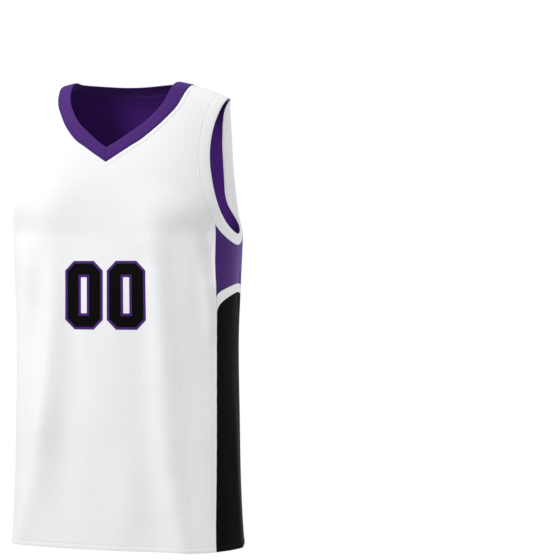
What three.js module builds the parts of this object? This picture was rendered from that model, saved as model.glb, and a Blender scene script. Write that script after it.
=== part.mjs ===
// Sleeveless reversible basketball jersey, filled out and hollow, as it hangs on the shoulders.
// Millimetres, +Z up. The front faces -Y and the wearer's left is +X.
// The origin is the middle of the shoulder line, where the wearer's shoulders carry the straps.
import * as THREE from "three";

// Main sizes of the garment
const HEM_LEVEL = -753;
const UNDERARM_LEVEL = -246;
const BODY_DEPTH = 93;
const CHEST_FILL = 6;
const UPPER_RISE = 300;
const SHOULDER_HALF_WIDTH = 181;

// The ring at each level is a squared ellipse. Above the underarm it narrows and grows squarer,
// over a share of the way up to the shoulder line.
const UNDERARM_FLARE = 14;
const FLARE_REACH = 0.33;
const BODY_SQUARENESS = 2.5;
const CHEST_SQUARENESS = 1.3;
const CHEST_REACH = 0.2;

// How squarely the cloth rolls over to the shoulder line: in front of the neck, at the shoulder
// and on the back, each change taking place between two turns round the body
const ROLL = { front: 3.2, shoulder: 2.3, back: 3 };
const FRONT_ROLL_TURNS = { from: 20, to: 48 };
const BACK_ROLL_TURNS = { from: 80, to: 130 };

// The back edge of each armhole is drawn in towards the middle
const BACK_ARMHOLE_PULL = { depth: 31, turn: 101, spread: 20, reach: 0.21, fullness: 5 };

// Shoulder line: level at the middle, and how it falls off sideways
const NECK_RISE = 12;
const NECK_HALF_WIDTH = 112;
const SHOULDER_CURVE = 2.43;

// Cloth and trim
const CLOTH = 1.2;
const LAYER_GAP = 0.35;
const LINING = 1;
const BAND_WIDTH = 18;
const SEAM_GAP = 0.4;

// Side seams. The left front one is straight and upright. The jersey is worn a little twisted,
// so both seams on the right sit further back. Turns at the hem and at the underarm.
const LEFT_FRONT_SEAM_X = 171.5;
const LEFT_BACK_SEAM = { hem: 122, top: 108 };
const RIGHT_FRONT_SEAM = { hem: 71.5, top: 71.5 };
const RIGHT_BACK_SEAM = { hem: 126, top: 108 };

// Side stripe: levels at the seams and how far the crowns stand above them
const ARC = { seamTop: -351, rise: 26, blackTop: -392, blackRise: 53 };

// Half-width of the body, a row for each level
const BODY_ROWS = [
  { level: -753, halfWidth: 196.5 },
  { level: -700, halfWidth: 194 },
  { level: -640, halfWidth: 191.5 },
  { level: -560, halfWidth: 190 },
  { level: -420, halfWidth: 188 },
  { level: -330, halfWidth: 191.5 },
  { level: -266, halfWidth: 194.5 },
  { level: -246, halfWidth: 195 },
];

// Armhole edge, from the front of the shoulder under the arm to the back of the shoulder. turn is
// the angle round the body from the front middle, up the height along the cloth above the underarm.
const ARMHOLE_ROWS = [
  { turn: 60.6, up: 300 },
  { turn: 61.2, up: 262 },
  { turn: 60.2, up: 238 },
  { turn: 57.6, up: 214 },
  { turn: 54.9, up: 185 },
  { turn: 52.8, up: 161 },
  { turn: 51.4, up: 137 },
  { turn: 50.8, up: 110 },
  { turn: 51.1, up: 92 },
  { turn: 51.9, up: 76 },
  { turn: 53, up: 59 },
  { turn: 54.7, up: 45 },
  { turn: 58, up: 31 },
  { turn: 62.8, up: 19.5 },
  { turn: 67.5, up: 12 },
  { turn: 72.5, up: 6.5 },
  { turn: 78, up: 2.6 },
  { turn: 84, up: 1 },
  { turn: 90, up: 4 },
  { turn: 94.5, up: 13 },
  { turn: 99.5, up: 33 },
  { turn: 106, up: 55 },
  { turn: 109.4, up: 76 },
  { turn: 109.9, up: 105 },
  { turn: 109.2, up: 124 },
  { turn: 108.8, up: 144 },
  { turn: 107.8, up: 170 },
  { turn: 106.6, up: 196 },
  { turn: 107.2, up: 224 },
  { turn: 110.6, up: 258 },
  { turn: 119.4, up: 300 },
];

// Neckline, from the tip of the V over the shoulder to the back middle: the seam of the band
// and its free edge. lean is how far the opening sits towards the wearer's left.
const NECK_SEAM_ROWS = [
  { turn: 0, up: 82, lean: 0 },
  { turn: 6.5, up: 91, lean: 0.3 },
  { turn: 12.2, up: 99.5, lean: 0.6 },
  { turn: 17.5, up: 108, lean: 0.9 },
  { turn: 23.5, up: 124.5, lean: 1.6 },
  { turn: 27.3, up: 142, lean: 2.1 },
  { turn: 30.2, up: 163, lean: 2.3 },
  { turn: 32.2, up: 207, lean: 2.3 },
  { turn: 33, up: 255, lean: 2 },
  { turn: 33, up: 300, lean: 1.8 },
];
const NECK_EDGE_ROWS = [
  { turn: 0, up: 98, lean: 0 },
  { turn: 6, up: 106, lean: 0.7 },
  { turn: 11, up: 115, lean: 1.3 },
  { turn: 15.2, up: 123, lean: 1.7 },
  { turn: 18.5, up: 131.7, lean: 2 },
  { turn: 22.2, up: 147.5, lean: 2.4 },
  { turn: 24.4, up: 166, lean: 2.5 },
  { turn: 25.8, up: 207, lean: 2.4 },
  { turn: 26.4, up: 255, lean: 2.1 },
  { turn: 26.8, up: 300, lean: 1.9 },
];
const BACK_NECK_SEAM_ROWS = [
  { turn: 147, up: 300, lean: -1.8 },
  { turn: 147.3, up: 262, lean: -1.7 },
  { turn: 150.5, up: 225, lean: -1.5 },
  { turn: 157, up: 202, lean: -1 },
  { turn: 166, up: 189, lean: -0.4 },
  { turn: 174, up: 184.5, lean: 0 },
  { turn: 180, up: 183.6, lean: 0 },
];
const BACK_NECK_EDGE_ROWS = [
  { turn: 153.2, up: 300, lean: -1.9 },
  { turn: 153.5, up: 278, lean: -1.8 },
  { turn: 156, up: 252, lean: -1.5 },
  { turn: 161.5, up: 232, lean: -1 },
  { turn: 169, up: 219.5, lean: -0.4 },
  { turn: 175, up: 215, lean: 0 },
  { turn: 180, up: 214, lean: 0 },
];

// Largest folds: each runs from one turn and level to another. Width, depth (out is positive) and
// how far it bows sideways are in millimetres. Left and right are the wearer's.
const FOLD_ROWS = [
  { name: "right hip ridge, upper", from: [-28, -285], to: [-37, -605], width: 17, depth: 9, bow: -5 },
  { name: "right hip ridge, lower", from: [-30, -475], to: [-53, -744], width: 24, depth: 9, bow: -14 },
  { name: "right hip hollow", from: [-18, -445], to: [-22, -748], width: 25, depth: -4.5, bow: 5 },
  { name: "right side hollow", from: [-35, -264], to: [-43, -449], width: 16, depth: -4.5, bow: 0 },
  { name: "right side ridge", from: [-54, -430], to: [-55, -589], width: 22, depth: 3.5, bow: 0 },
  { name: "right chest swell", from: [-21, -176], to: [-42, -338], width: 34, depth: 7.5, bow: 8 },
  { name: "left hip ridge, upper", from: [23, -231], to: [29, -508], width: 16, depth: 8.5, bow: -1 },
  { name: "left hip ridge, lower", from: [28, -497], to: [38.7, -752], width: 16, depth: 8, bow: 7 },
  { name: "left side hollow", from: [47, -273], to: [51, -534], width: 22, depth: -2.4, bow: 3 },
  { name: "left hem swell", from: [30, -645], to: [47, -750], width: 22, depth: 6, bow: 5 },
  { name: "left hem hollow", from: [34, -644], to: [14, -748], width: 34, depth: -3.2, bow: -8 },
  { name: "left belly hollow", from: [22, -553], to: [22, -753], width: 24, depth: -4, bow: 4 },
  { name: "middle hollow", from: [-8.5, -549], to: [-7.5, -753], width: 32, depth: -4, bow: -10 },
  { name: "upper middle hollow", from: [17, -345], to: [15.5, -591], width: 29, depth: -4, bow: -5 },
  { name: "left chest swell", from: [40, -207], to: [17, -274], width: 34, depth: 6, bow: 14 },
  { name: "back left hollow", from: [138, -250], to: [146, -460], width: 26, depth: -4, bow: 4 },
  { name: "back left ridge", from: [132, -400], to: [122, -740], width: 26, depth: 6, bow: -8 },
  { name: "back middle hollow", from: [172, -420], to: [176, -753], width: 30, depth: -4.5, bow: 6 },
  { name: "back middle ridge", from: [160, -480], to: [154, -753], width: 22, depth: 5, bow: -4 },
  { name: "back right ridge", from: [-150, -350], to: [-142, -745], width: 24, depth: 7, bow: 9 },
  { name: "back right hollow", from: [-136, -260], to: [-128, -480], width: 24, depth: -4, bow: -5 },
  { name: "left side fold", from: [84, -520], to: [88, -753], width: 22, depth: 3.5, bow: 4 },
  { name: "right side fold", from: [-88, -500], to: [-94, -753], width: 22, depth: 3.5, bow: -4 },
];
const MM_PER_TURN = 2.6;

// A fold swells and fades over these shares of its length, unless it runs out through the hem
const FOLD_START = { from: -0.15, to: 0.35 };
const FOLD_END = { from: 0.75, to: 1.2 };
const NEAR_HEM = 20;

// How finely each piece is divided
const DIVISIONS = { across: 10, body: 17, frontChest: 5, frontNeck: 10, backChest: 8, backNeck: 8 };
const SIDE_DIVISIONS = { across: 8, insert: 4, arc: 2, black: 14 };
const BAND_DIVISIONS = { across: 2 };
const EDGE_FINENESS = 160;

// Colours of the cloth, with how matt it is
const WHITE_CLOTH = { color: 0xf2f2f4, roughness: 0.78, metalness: 0 };
const PURPLE_CLOTH = { color: 0x4f2b86, roughness: 0.74, metalness: 0 };
const DEEP_PURPLE_CLOTH = { color: 0x35185f, roughness: 0.8, metalness: 0 };
const BLACK_CLOTH = { color: 0x101012, roughness: 0.7, metalness: 0 };

const radians = THREE.MathUtils.degToRad;
const TOP_LEVEL = UNDERARM_LEVEL + UPPER_RISE;
const SHOULDER_DROP = SEAM_GAP / 2 * (UPPER_RISE / (Math.PI / 2)) / BODY_DEPTH;

function even(from, to, count) {
  return Array.from({ length: count + 1 }, (unused, index) => from + (to - from) * index / count);
}

function ease(value, from, to) {
  const share = THREE.MathUtils.clamp((value - from) / (to - from), 0, 1);
  return share * share * (3 - 2 * share);
}

// Smooth curve through a table's rows, read at one key
function tableValue(rows, key, name, at) {
  const last = rows.length - 1;
  const place = THREE.MathUtils.clamp(at, rows[0][key], rows[last][key]);
  let row = 0;
  while (row < last - 1 && rows[row + 1][key] < place) row += 1;
  const slopeAt = (index) => {
    const before = rows[Math.max(index - 1, 0)];
    const after = rows[Math.min(index + 1, last)];
    return (after[name] - before[name]) / (after[key] - before[key]);
  };
  const span = rows[row + 1][key] - rows[row][key];
  const share = (place - rows[row][key]) / span;
  const square = share * share;
  const cube = square * share;
  return (2 * cube - 3 * square + 1) * rows[row][name]
    + (cube - 2 * square + share) * span * slopeAt(row)
    + (3 * square - 2 * cube) * rows[row + 1][name]
    + (cube - square) * span * slopeAt(row + 1);
}

// Squared-off quarter circle: cosine and sine of an angle, scaled on to a superellipse
function squared(angle, squareness) {
  const across = Math.sin(angle);
  const ahead = Math.cos(angle);
  const radius = (Math.abs(across) ** squareness + Math.abs(ahead) ** squareness) ** (-1 / squareness);
  return { across: across * radius, ahead: ahead * radius };
}

function shoulderLevel(x) {
  return NECK_RISE * (1 - (Math.abs(x) / NECK_HALF_WIDTH) ** SHOULDER_CURVE);
}

// Smooth body without folds: a squared ring at each level, whose chest and back roll over
// to the shoulder line
function bodyPoint(turn, level) {
  const side = Math.abs(turn);
  const rise = THREE.MathUtils.clamp((level - UNDERARM_LEVEL) / UPPER_RISE, 0, 1) * Math.PI / 2;
  const roll = ROLL.front
    + (ROLL.shoulder - ROLL.front) * ease(side, FRONT_ROLL_TURNS.from, FRONT_ROLL_TURNS.to)
    + (ROLL.back - ROLL.shoulder) * ease(side, BACK_ROLL_TURNS.from, BACK_ROLL_TURNS.to);
  const profile = squared(rise, roll);
  const height = profile.across;
  const lowest = Math.min(level, UNDERARM_LEVEL);
  const narrowing = UNDERARM_FLARE * (1 - Math.exp(-((height / FLARE_REACH) ** 2)));
  const halfWidth = tableValue(BODY_ROWS, "level", "halfWidth", lowest) - narrowing;
  const depth = BODY_DEPTH + CHEST_FILL * Math.sin(Math.PI * height);
  const squareness = BODY_SQUARENESS + CHEST_SQUARENESS * (1 - Math.exp(-((height / CHEST_REACH) ** 2)));
  const ring = squared(radians(turn), squareness);
  const nearEdge = Math.exp(-(((side - BACK_ARMHOLE_PULL.turn) / BACK_ARMHOLE_PULL.spread) ** 2));
  const starting = 1 - Math.exp(-((height / BACK_ARMHOLE_PULL.reach) ** 2));
  const ending = Math.sqrt(Math.max(0, 1 - height ** BACK_ARMHOLE_PULL.fullness));
  const pull = BACK_ARMHOLE_PULL.depth * nearEdge * starting * ending;
  const top = squared(radians(turn), BODY_SQUARENESS + CHEST_SQUARENESS);
  const z = level > UNDERARM_LEVEL
    ? UNDERARM_LEVEL + (shoulderLevel(SHOULDER_HALF_WIDTH * top.across) - UNDERARM_LEVEL) * height
    : level;
  return new THREE.Vector3(
    halfWidth * ring.across - Math.sign(turn) * pull,
    -depth * ring.ahead * profile.ahead,
    z,
  );
}

// Steps, in millimetres and degrees, by which directions on the cloth are measured
const PROBE = 0.25;
const PROBE_TURN = 0.1;
const STEPS_ASIDE = 8;
const SAME_PLACE = 0.02;

// Direction out of the cloth, from two short steps on the smooth body
function outward(turn, level) {
  const low = Math.min(level, TOP_LEVEL - 2 * PROBE) - PROBE;
  const round = bodyPoint(turn + PROBE_TURN, low + PROBE).sub(bodyPoint(turn - PROBE_TURN, low + PROBE));
  const upward = bodyPoint(turn, low + 2 * PROBE).sub(bodyPoint(turn, low));
  return round.cross(upward).normalize();
}

// The shorter way round from one turn to another
function turnBetween(from, to) {
  return ((to - from + 540) % 360) - 180;
}

// Depth of all folds at one place: each is a soft ridge or hollow along a line that may bow
// sideways, fading at both ends
function foldDepth(turn, level) {
  let depth = 0;
  for (const fold of FOLD_ROWS) {
    const [fromTurn, fromLevel] = fold.from;
    const [toTurn, toLevel] = fold.to;
    const around = MM_PER_TURN * (toTurn - fromTurn);
    const along = toLevel - fromLevel;
    const length = Math.hypot(around, along);
    const fromStart = MM_PER_TURN * turnBetween(fromTurn, turn);
    const down = level - fromLevel;
    const share = (fromStart * around + down * along) / length / length;
    const inside = THREE.MathUtils.clamp(share, 0, 1);
    const aside = (fromStart * along - down * around) / length - fold.bow * 4 * inside * (1 - inside);
    const start = ease(share, FOLD_START.from, FOLD_START.to);
    const end = toLevel > HEM_LEVEL + NEAR_HEM ? 1 - ease(share, FOLD_END.from, FOLD_END.to) : 1;
    depth += fold.depth * start * end * Math.exp(-((aside / fold.width) ** 2));
  }
  return depth;
}

// Point of the cloth, a distance inside its outer face
function clothPoint(turn, level, inside) {
  const point = bodyPoint(turn, level);
  return point.addScaledVector(outward(turn, level), foldDepth(turn, level) - inside);
}

// Evenly spaced places along a table's curve, from its first row to its last
function curvePlaces(rows, count) {
  const points = rows.map((row) => new THREE.Vector3(MM_PER_TURN * row.turn, row.up, row.lean ?? 0));
  const curve = new THREE.CatmullRomCurve3(points, false, "centripetal");
  return curve.getSpacedPoints(count).map((point) => ({
    turn: point.x / MM_PER_TURN,
    level: UNDERARM_LEVEL + Math.min(point.y, UPPER_RISE),
    lean: point.z,
  }));
}

// Place a distance away from an edge, along the cloth and square to the edge
function stepFrom(place, ahead, distance) {
  let { turn, level } = place;
  for (let count = 0; count < STEPS_ASIDE; count += 1) {
    const base = Math.min(level, TOP_LEVEL - PROBE);
    const round = bodyPoint(turn + PROBE_TURN, base).sub(bodyPoint(turn - PROBE_TURN, base))
      .divideScalar(2 * PROBE_TURN);
    const upward = bodyPoint(turn, base).sub(bodyPoint(turn, base - PROBE)).divideScalar(PROBE);
    const edge = round.clone().multiplyScalar(ahead.turn).addScaledVector(upward, ahead.level);
    const normal = round.clone().cross(upward).normalize();
    const square = edge.cross(normal).normalize().multiplyScalar(distance / STEPS_ASIDE);
    const roundRound = round.dot(round);
    const roundUp = round.dot(upward);
    const upUp = upward.dot(upward);
    const scale = roundRound * upUp - roundUp * roundUp;
    turn += (square.dot(round) * upUp - square.dot(upward) * roundUp) / scale;
    level += (square.dot(upward) * roundRound - square.dot(round) * roundUp) / scale;
  }
  return { turn, level };
}

// An edge moved sideways over the body: to the right of the way it runs, seen from outside
function movedEdge(places, distance) {
  const last = places.length - 1;
  return places.map((place, index) => {
    const before = places[Math.max(index - 1, 0)];
    const after = places[Math.min(index + 1, last)];
    const ahead = { turn: after.turn - before.turn, level: after.level - before.level };
    const atShoulder = place.level > TOP_LEVEL - 1;
    if (atShoulder) ahead.turn = 0;
    const moved = stepFrom(place, ahead, distance);
    return { ...place, turn: moved.turn, level: atShoulder ? place.level : moved.level };
  });
}

const ARMHOLE_EDGE = curvePlaces(ARMHOLE_ROWS, EDGE_FINENESS);
const PANEL_EDGE = movedEdge(ARMHOLE_EDGE, BAND_WIDTH + SEAM_GAP / 2);
const BAND_SEAM = movedEdge(ARMHOLE_EDGE, BAND_WIDTH - SEAM_GAP / 2);

// Place on a finely divided edge, at a number that may lie between two of its places
function placeAt(edge, position) {
  const index = Math.min(Math.floor(position), edge.length - 2);
  const share = position - index;
  const here = edge[index];
  const next = edge[index + 1];
  return {
    turn: here.turn + (next.turn - here.turn) * share,
    level: here.level + (next.level - here.level) * share,
  };
}

const SEAM_SEARCH = { from: 30, to: 80, halvings: 40 };

// Turn of the upright side seam
function uprightSeamTurn(level) {
  let low = SEAM_SEARCH.from;
  let high = SEAM_SEARCH.to;
  for (let count = 0; count < SEAM_SEARCH.halvings; count += 1) {
    const middle = (low + high) / 2;
    if (bodyPoint(middle, level).x < LEFT_FRONT_SEAM_X) low = middle;
    else high = middle;
  }
  return low;
}

// Turn of a seam that slants evenly between the hem and the underarm
const slantingSeam = ({ hem, top }) => (level) => {
  const share = (level - HEM_LEVEL) / (UNDERARM_LEVEL - HEM_LEVEL);
  return hem + (top - hem) * share;
};

// Half a seam gap, as a turn
const SEAM_TURN = SEAM_GAP / 2 / MM_PER_TURN;

// Position on the panel edge where a side seam meets the armhole band
function seamCorner(seamTurn, first, last) {
  for (let index = first; index < last; index += 1) {
    const before = PANEL_EDGE[index].turn - seamTurn(PANEL_EDGE[index].level);
    const after = PANEL_EDGE[index + 1].turn - seamTurn(PANEL_EDGE[index + 1].level);
    if (before <= 0 && after > 0) return index + before / (before - after);
  }
  throw new Error("the side seam misses the band");
}

const lower = (best, place, index) => (place.level < PANEL_EDGE[best].level ? index : best);
const LOWEST = PANEL_EDGE.reduce(lower, 0);

// Seams of one side of the body, with the positions on the armhole edge that the panels, the side
// pieces and the armhole band share, so that their seams run alike. Turns are as on the left.
function bodySide(sign, frontSeam, backSeam) {
  const frontCorner = seamCorner(frontSeam, EDGE_FINENESS / 4, LOWEST);
  const backCorner = seamCorner(backSeam, LOWEST, EDGE_FINENESS - 1);
  const front = even(frontCorner, 0, DIVISIONS.frontChest + DIVISIONS.frontNeck);
  const under = even(frontCorner, backCorner, SIDE_DIVISIONS.across);
  const back = even(backCorner, EDGE_FINENESS, DIVISIONS.backChest + DIVISIONS.backNeck);
  const band = [...[...front].reverse(), ...under.slice(1), ...back.slice(1)];
  return { sign, frontSeam, backSeam, front, under, back, band };
}

const LEFT = bodySide(1, uprightSeamTurn, slantingSeam(LEFT_BACK_SEAM));
const RIGHT = bodySide(-1, slantingSeam(RIGHT_FRONT_SEAM), slantingSeam(RIGHT_BACK_SEAM));

// Sheet of cloth gathered from patches. Points at the same place are shared,
// and the wall is closed at its edges.
class Cloth {
  constructor(inside, thickness) {
    this.inside = inside;
    this.thickness = thickness;
    this.places = [];
    this.faces = [];
    this.known = new Map();
  }

  vertex(turn, level) {
    const point = bodyPoint(turn, level);
    const key = point.toArray().map((value) => Math.round(value / SAME_PLACE)).join();
    if (!this.known.has(key)) {
      this.known.set(key, this.places.length);
      this.places.push({ turn, level });
    }
    return this.known.get(key);
  }

  // Rows run upwards and columns towards the wearer's left, seen from outside
  patch(rows) {
    const numbers = rows.map((row) => row.map(([turn, level]) => this.vertex(turn, level)));
    for (let row = 0; row < numbers.length - 1; row += 1) {
      for (let column = 0; column < numbers[row].length - 1; column += 1) {
        const a = numbers[row][column];
        const b = numbers[row][column + 1];
        const c = numbers[row + 1][column + 1];
        const d = numbers[row + 1][column];
        if (a !== b && b !== c && c !== a) this.faces.push([a, b, c]);
        if (a !== c && c !== d && d !== a) this.faces.push([a, c, d]);
      }
    }
    return this;
  }

  geometry() {
    const count = this.places.length;
    const outer = this.places.map(({ turn, level }) => clothPoint(turn, level, this.inside));
    const inner = this.places.map(({ turn, level }) => clothPoint(turn, level, this.inside + this.thickness));
    const triangles = [];
    const edges = new Set();
    for (const [a, b, c] of this.faces) {
      triangles.push(a, b, c, a + count, c + count, b + count);
      edges.add(`${a},${b}`).add(`${b},${c}`).add(`${c},${a}`);
    }
    for (const edge of edges) {
      const [a, b] = edge.split(",").map(Number);
      if (!edges.has(`${b},${a}`)) triangles.push(b, a, a + count, b, a + count, b + count);
    }
    const positions = new Float32Array(6 * count);
    [...outer, ...inner].forEach((point, index) => point.toArray(positions, 3 * index));
    const geometry = new THREE.BufferGeometry();
    geometry.setAttribute("position", new THREE.BufferAttribute(positions, 3));
    geometry.setIndex(triangles);
    geometry.computeVertexNormals();
    return geometry;
  }
}

// Straight row over the cloth from one place to another, split into columns
function clothRow(from, to, count) {
  return even(0, 1, count).map((share) => [
    from.turn + (to.turn - from.turn) * share,
    from.level + (to.level - from.level) * share,
  ]);
}

const mirrored = ({ turn, level }) => ({ turn: -turn, level });
const leaning = (place, side) => ({ turn: side * place.turn + place.lean, level: place.level });

// Neck seam of a panel: the band's seam moved on to the panel, and kept off the shoulder seam by half a gap
function panelNeck(rows, count) {
  return movedEdge(curvePlaces(rows, count), SEAM_GAP).map((place, index) => {
    const middle = rows[index === 0 ? 0 : rows.length - 1];
    const onMiddle = (index === 0 || index === count) && middle.turn % 180 === 0;
    return {
      ...place,
      turn: onMiddle ? middle.turn : place.turn,
      level: Math.min(place.level, TOP_LEVEL - SHOULDER_DROP),
    };
  });
}

// End of a panel row at the armhole band, kept off the shoulder seam by half a gap
function panelSide(position) {
  const place = placeAt(PANEL_EDGE, position);
  return { turn: place.turn, level: Math.min(place.level, TOP_LEVEL - SHOULDER_DROP) };
}

// Edge of a panel on one side: up the side seam, then along the armhole band to the shoulder
function panelEdge(stations, seamTurn, gap, chest) {
  const sides = stations.map(panelSide);
  const seam = even(HEM_LEVEL, sides[0].level, DIVISIONS.body).slice(0, -1)
    .map((level) => ({ turn: seamTurn(level) + gap, level }));
  return { rows: [...seam, ...sides.slice(0, chest + 1)], straps: sides.slice(chest) };
}

// Levels of a panel's rows at its middle: evenly up to where the side seams end, then to the neck
function middleLevels(left, right, neckLevel, chest) {
  const corner = (left.rows[DIVISIONS.body].level + right.rows[DIVISIONS.body].level) / 2;
  return [...even(HEM_LEVEL, corner, DIVISIONS.body).slice(0, -1), ...even(corner, neckLevel, chest)];
}

// Front panel: full rows up to the tip of the V, then one block for each strap
function frontPanel(cloth) {
  const { across, frontChest, frontNeck } = DIVISIONS;
  const neck = panelNeck(NECK_SEAM_ROWS, frontNeck);
  const left = panelEdge(LEFT.front, LEFT.frontSeam, -SEAM_TURN, frontChest);
  const right = panelEdge(RIGHT.front, RIGHT.frontSeam, -SEAM_TURN, frontChest);
  cloth.patch(middleLevels(left, right, neck[0].level, frontChest).map((level, row) => {
    const middle = { turn: 0, level };
    const rightHalf = clothRow(mirrored(right.rows[row]), middle, across);
    return [...rightHalf, ...clothRow(middle, left.rows[row], across).slice(1)];
  }));
  cloth.patch(neck.map((place, row) => clothRow(leaning(place, 1), left.straps[row], across)));
  cloth.patch(neck.map((place, row) => clothRow(mirrored(right.straps[row]), leaning(place, -1), across)));
  return cloth;
}

// Back panel: full rows up to the back of the neck, then one block for each strap
function backPanel(cloth) {
  const { across, backChest, backNeck } = DIVISIONS;
  const neck = panelNeck(BACK_NECK_SEAM_ROWS, backNeck).reverse();
  const left = panelEdge(LEFT.back, LEFT.backSeam, SEAM_TURN, backChest);
  const right = panelEdge(RIGHT.back, RIGHT.backSeam, SEAM_TURN, backChest);
  cloth.patch(middleLevels(left, right, neck[0].level, backChest).map((level, row) => {
    const leftHalf = clothRow(left.rows[row], { turn: 180, level }, across);
    const rightHalf = clothRow({ turn: -180, level }, mirrored(right.rows[row]), across);
    return [...leftHalf, ...rightHalf.slice(1)];
  }));
  cloth.patch(neck.map((place, row) => clothRow(left.straps[row], leaning(place, 1), across)));
  cloth.patch(neck.map((place, row) => clothRow(leaning(place, -1), mirrored(right.straps[row]), across)));
  return cloth;
}

// Where a share from -1 at the front seam to 1 at the back seam lies at one level of the side piece
function sideTurn(side, share, level) {
  const from = side.frontSeam(level) + SEAM_TURN;
  const to = side.backSeam(level) - SEAM_TURN;
  return from + (to - from) * (share + 1) / 2;
}

function sideShare(side, { turn, level }) {
  const from = sideTurn(side, -1, level);
  const share = 2 * (turn - from) / (sideTurn(side, 1, level) - from) - 1;
  return THREE.MathUtils.clamp(share, -1, 1);
}

// Rows of a side piece between two curves, each giving the share and the level at the end of a column
function sideRows(side, bottom, top, count) {
  const columns = even(0, SIDE_DIVISIONS.across, SIDE_DIVISIONS.across).map((column) => {
    const low = bottom(column);
    const high = top(column);
    return even(0, 1, count).map((part) => {
      const level = low.level + (high.level - low.level) * part;
      return [sideTurn(side, low.share + (high.share - low.share) * part, level), level];
    });
  });
  return onSide(even(0, count, count).map((row) => columns.map((places) => places[row])), side);
}

function onSide(rows, side) {
  return side.sign > 0 ? rows : rows.map((row) => row.map(([turn, level]) => [-turn, level]).reverse());
}

const columnShare = (column) => -Math.cos(Math.PI * column / SIDE_DIVISIONS.across);
const levelCurve = (levelOf) => (gap) => (column) => {
  const share = columnShare(column);
  return { share, level: levelOf(share) + gap };
};
const hemCurve = levelCurve(() => HEM_LEVEL);
const crown = (share) => Math.max(0, 1 - share * share);
const arcCurve = levelCurve((share) => ARC.seamTop + ARC.rise * Math.sqrt(crown(share)));
const blackCurve = levelCurve((share) => ARC.blackTop + ARC.blackRise * crown(share) ** 0.3);

// Top of the side piece, where the armhole band crosses it
const bandCurve = (side) => (column) => {
  const place = placeAt(PANEL_EDGE, side.under[column]);
  return { share: sideShare(side, place), level: place.level };
};

// Armhole band: a closed ring between its seam and its free edge
function armholeBand(cloth, side) {
  const rows = even(0, 1, BAND_DIVISIONS.across).map((share) => side.band.map((position) => {
    const seam = placeAt(BAND_SEAM, position);
    const free = placeAt(ARMHOLE_EDGE, position);
    return [seam.turn + (free.turn - seam.turn) * share, seam.level + (free.level - seam.level) * share];
  }));
  return cloth.patch(onSide(rows, side));
}

// Neckband: one strip from the mitre at the V, round the back and down to the mitre again
function neckband(cloth) {
  const half = (frontRows, backRows) => [
    ...curvePlaces(frontRows, DIVISIONS.frontNeck),
    ...curvePlaces(backRows, DIVISIONS.backNeck).slice(1),
  ];
  const seam = half(NECK_SEAM_ROWS, BACK_NECK_SEAM_ROWS);
  const free = half(NECK_EDGE_ROWS, BACK_NECK_EDGE_ROWS);
  const strip = (side) => even(0, 1, BAND_DIVISIONS.across).map((share) => seam.map((place, index) => {
    const from = leaning(place, side);
    const to = leaning(free[index], side);
    const mitre = index === 0 ? side * SEAM_TURN : 0;
    return [from.turn + (to.turn - from.turn) * share + mitre, from.level + (to.level - from.level) * share];
  }));
  cloth.patch(strip(1));
  cloth.patch(strip(-1).map((row) => row.reverse()));
  return cloth;
}

function piece(name, geometry, finish) {
  const mesh = new THREE.Mesh(geometry, new THREE.MeshStandardMaterial(finish));
  mesh.name = name;
  return mesh;
}

const outerCloth = () => new Cloth(0, CLOTH);
const liningCloth = () => new Cloth(CLOTH + LAYER_GAP, LINING);

const jersey = new THREE.Group();
jersey.add(
  piece("front_panel", frontPanel(outerCloth()).geometry(), WHITE_CLOTH),
  piece("back_panel", backPanel(outerCloth()).geometry(), WHITE_CLOTH),
  piece("lining_front", frontPanel(liningCloth()).geometry(), DEEP_PURPLE_CLOTH),
  piece("lining_back", backPanel(liningCloth()).geometry(), DEEP_PURPLE_CLOTH),
  piece("neckband", neckband(outerCloth()).geometry(), PURPLE_CLOTH),
);

for (const [word, side] of [["left", LEFT], ["right", RIGHT]]) {
  const { insert, arc, black } = SIDE_DIVISIONS;
  const apart = SEAM_GAP / 2;
  const insertRows = (gap) => sideRows(side, arcCurve(gap), bandCurve(side), insert);
  const arcRows = (gap) => sideRows(side, blackCurve(gap), arcCurve(-gap), arc);
  const blackRows = (gap) => sideRows(side, hemCurve(0), blackCurve(-gap), black);
  const lining = liningCloth().patch(blackRows(0)).patch(arcRows(0)).patch(insertRows(0));
  jersey.add(
    piece(`side_insert_${word}`, outerCloth().patch(insertRows(apart)).geometry(), PURPLE_CLOTH),
    piece(`side_arc_${word}`, outerCloth().patch(arcRows(apart)).geometry(), WHITE_CLOTH),
    piece(`side_panel_${word}`, outerCloth().patch(blackRows(apart)).geometry(), BLACK_CLOTH),
    piece(`lining_side_${word}`, lining.geometry(), DEEP_PURPLE_CLOTH),
    piece(`armhole_band_${word}`, armholeBand(outerCloth(), side).geometry(), WHITE_CLOTH),
  );
}

export default jersey;
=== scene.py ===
"""Basketball jersey: cloth, inner layer, bands, side pieces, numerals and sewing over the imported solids.

Metres and degrees, in the frame's axes: +Z up, the front towards -Y, the wearer's left towards +X.
A place on the cloth is a turn, the angle round the body from the front middle, and a level. Up to
the underarm a level is a height; above it, it counts the way up the cloth to the shoulder line.
"""

import math

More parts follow.
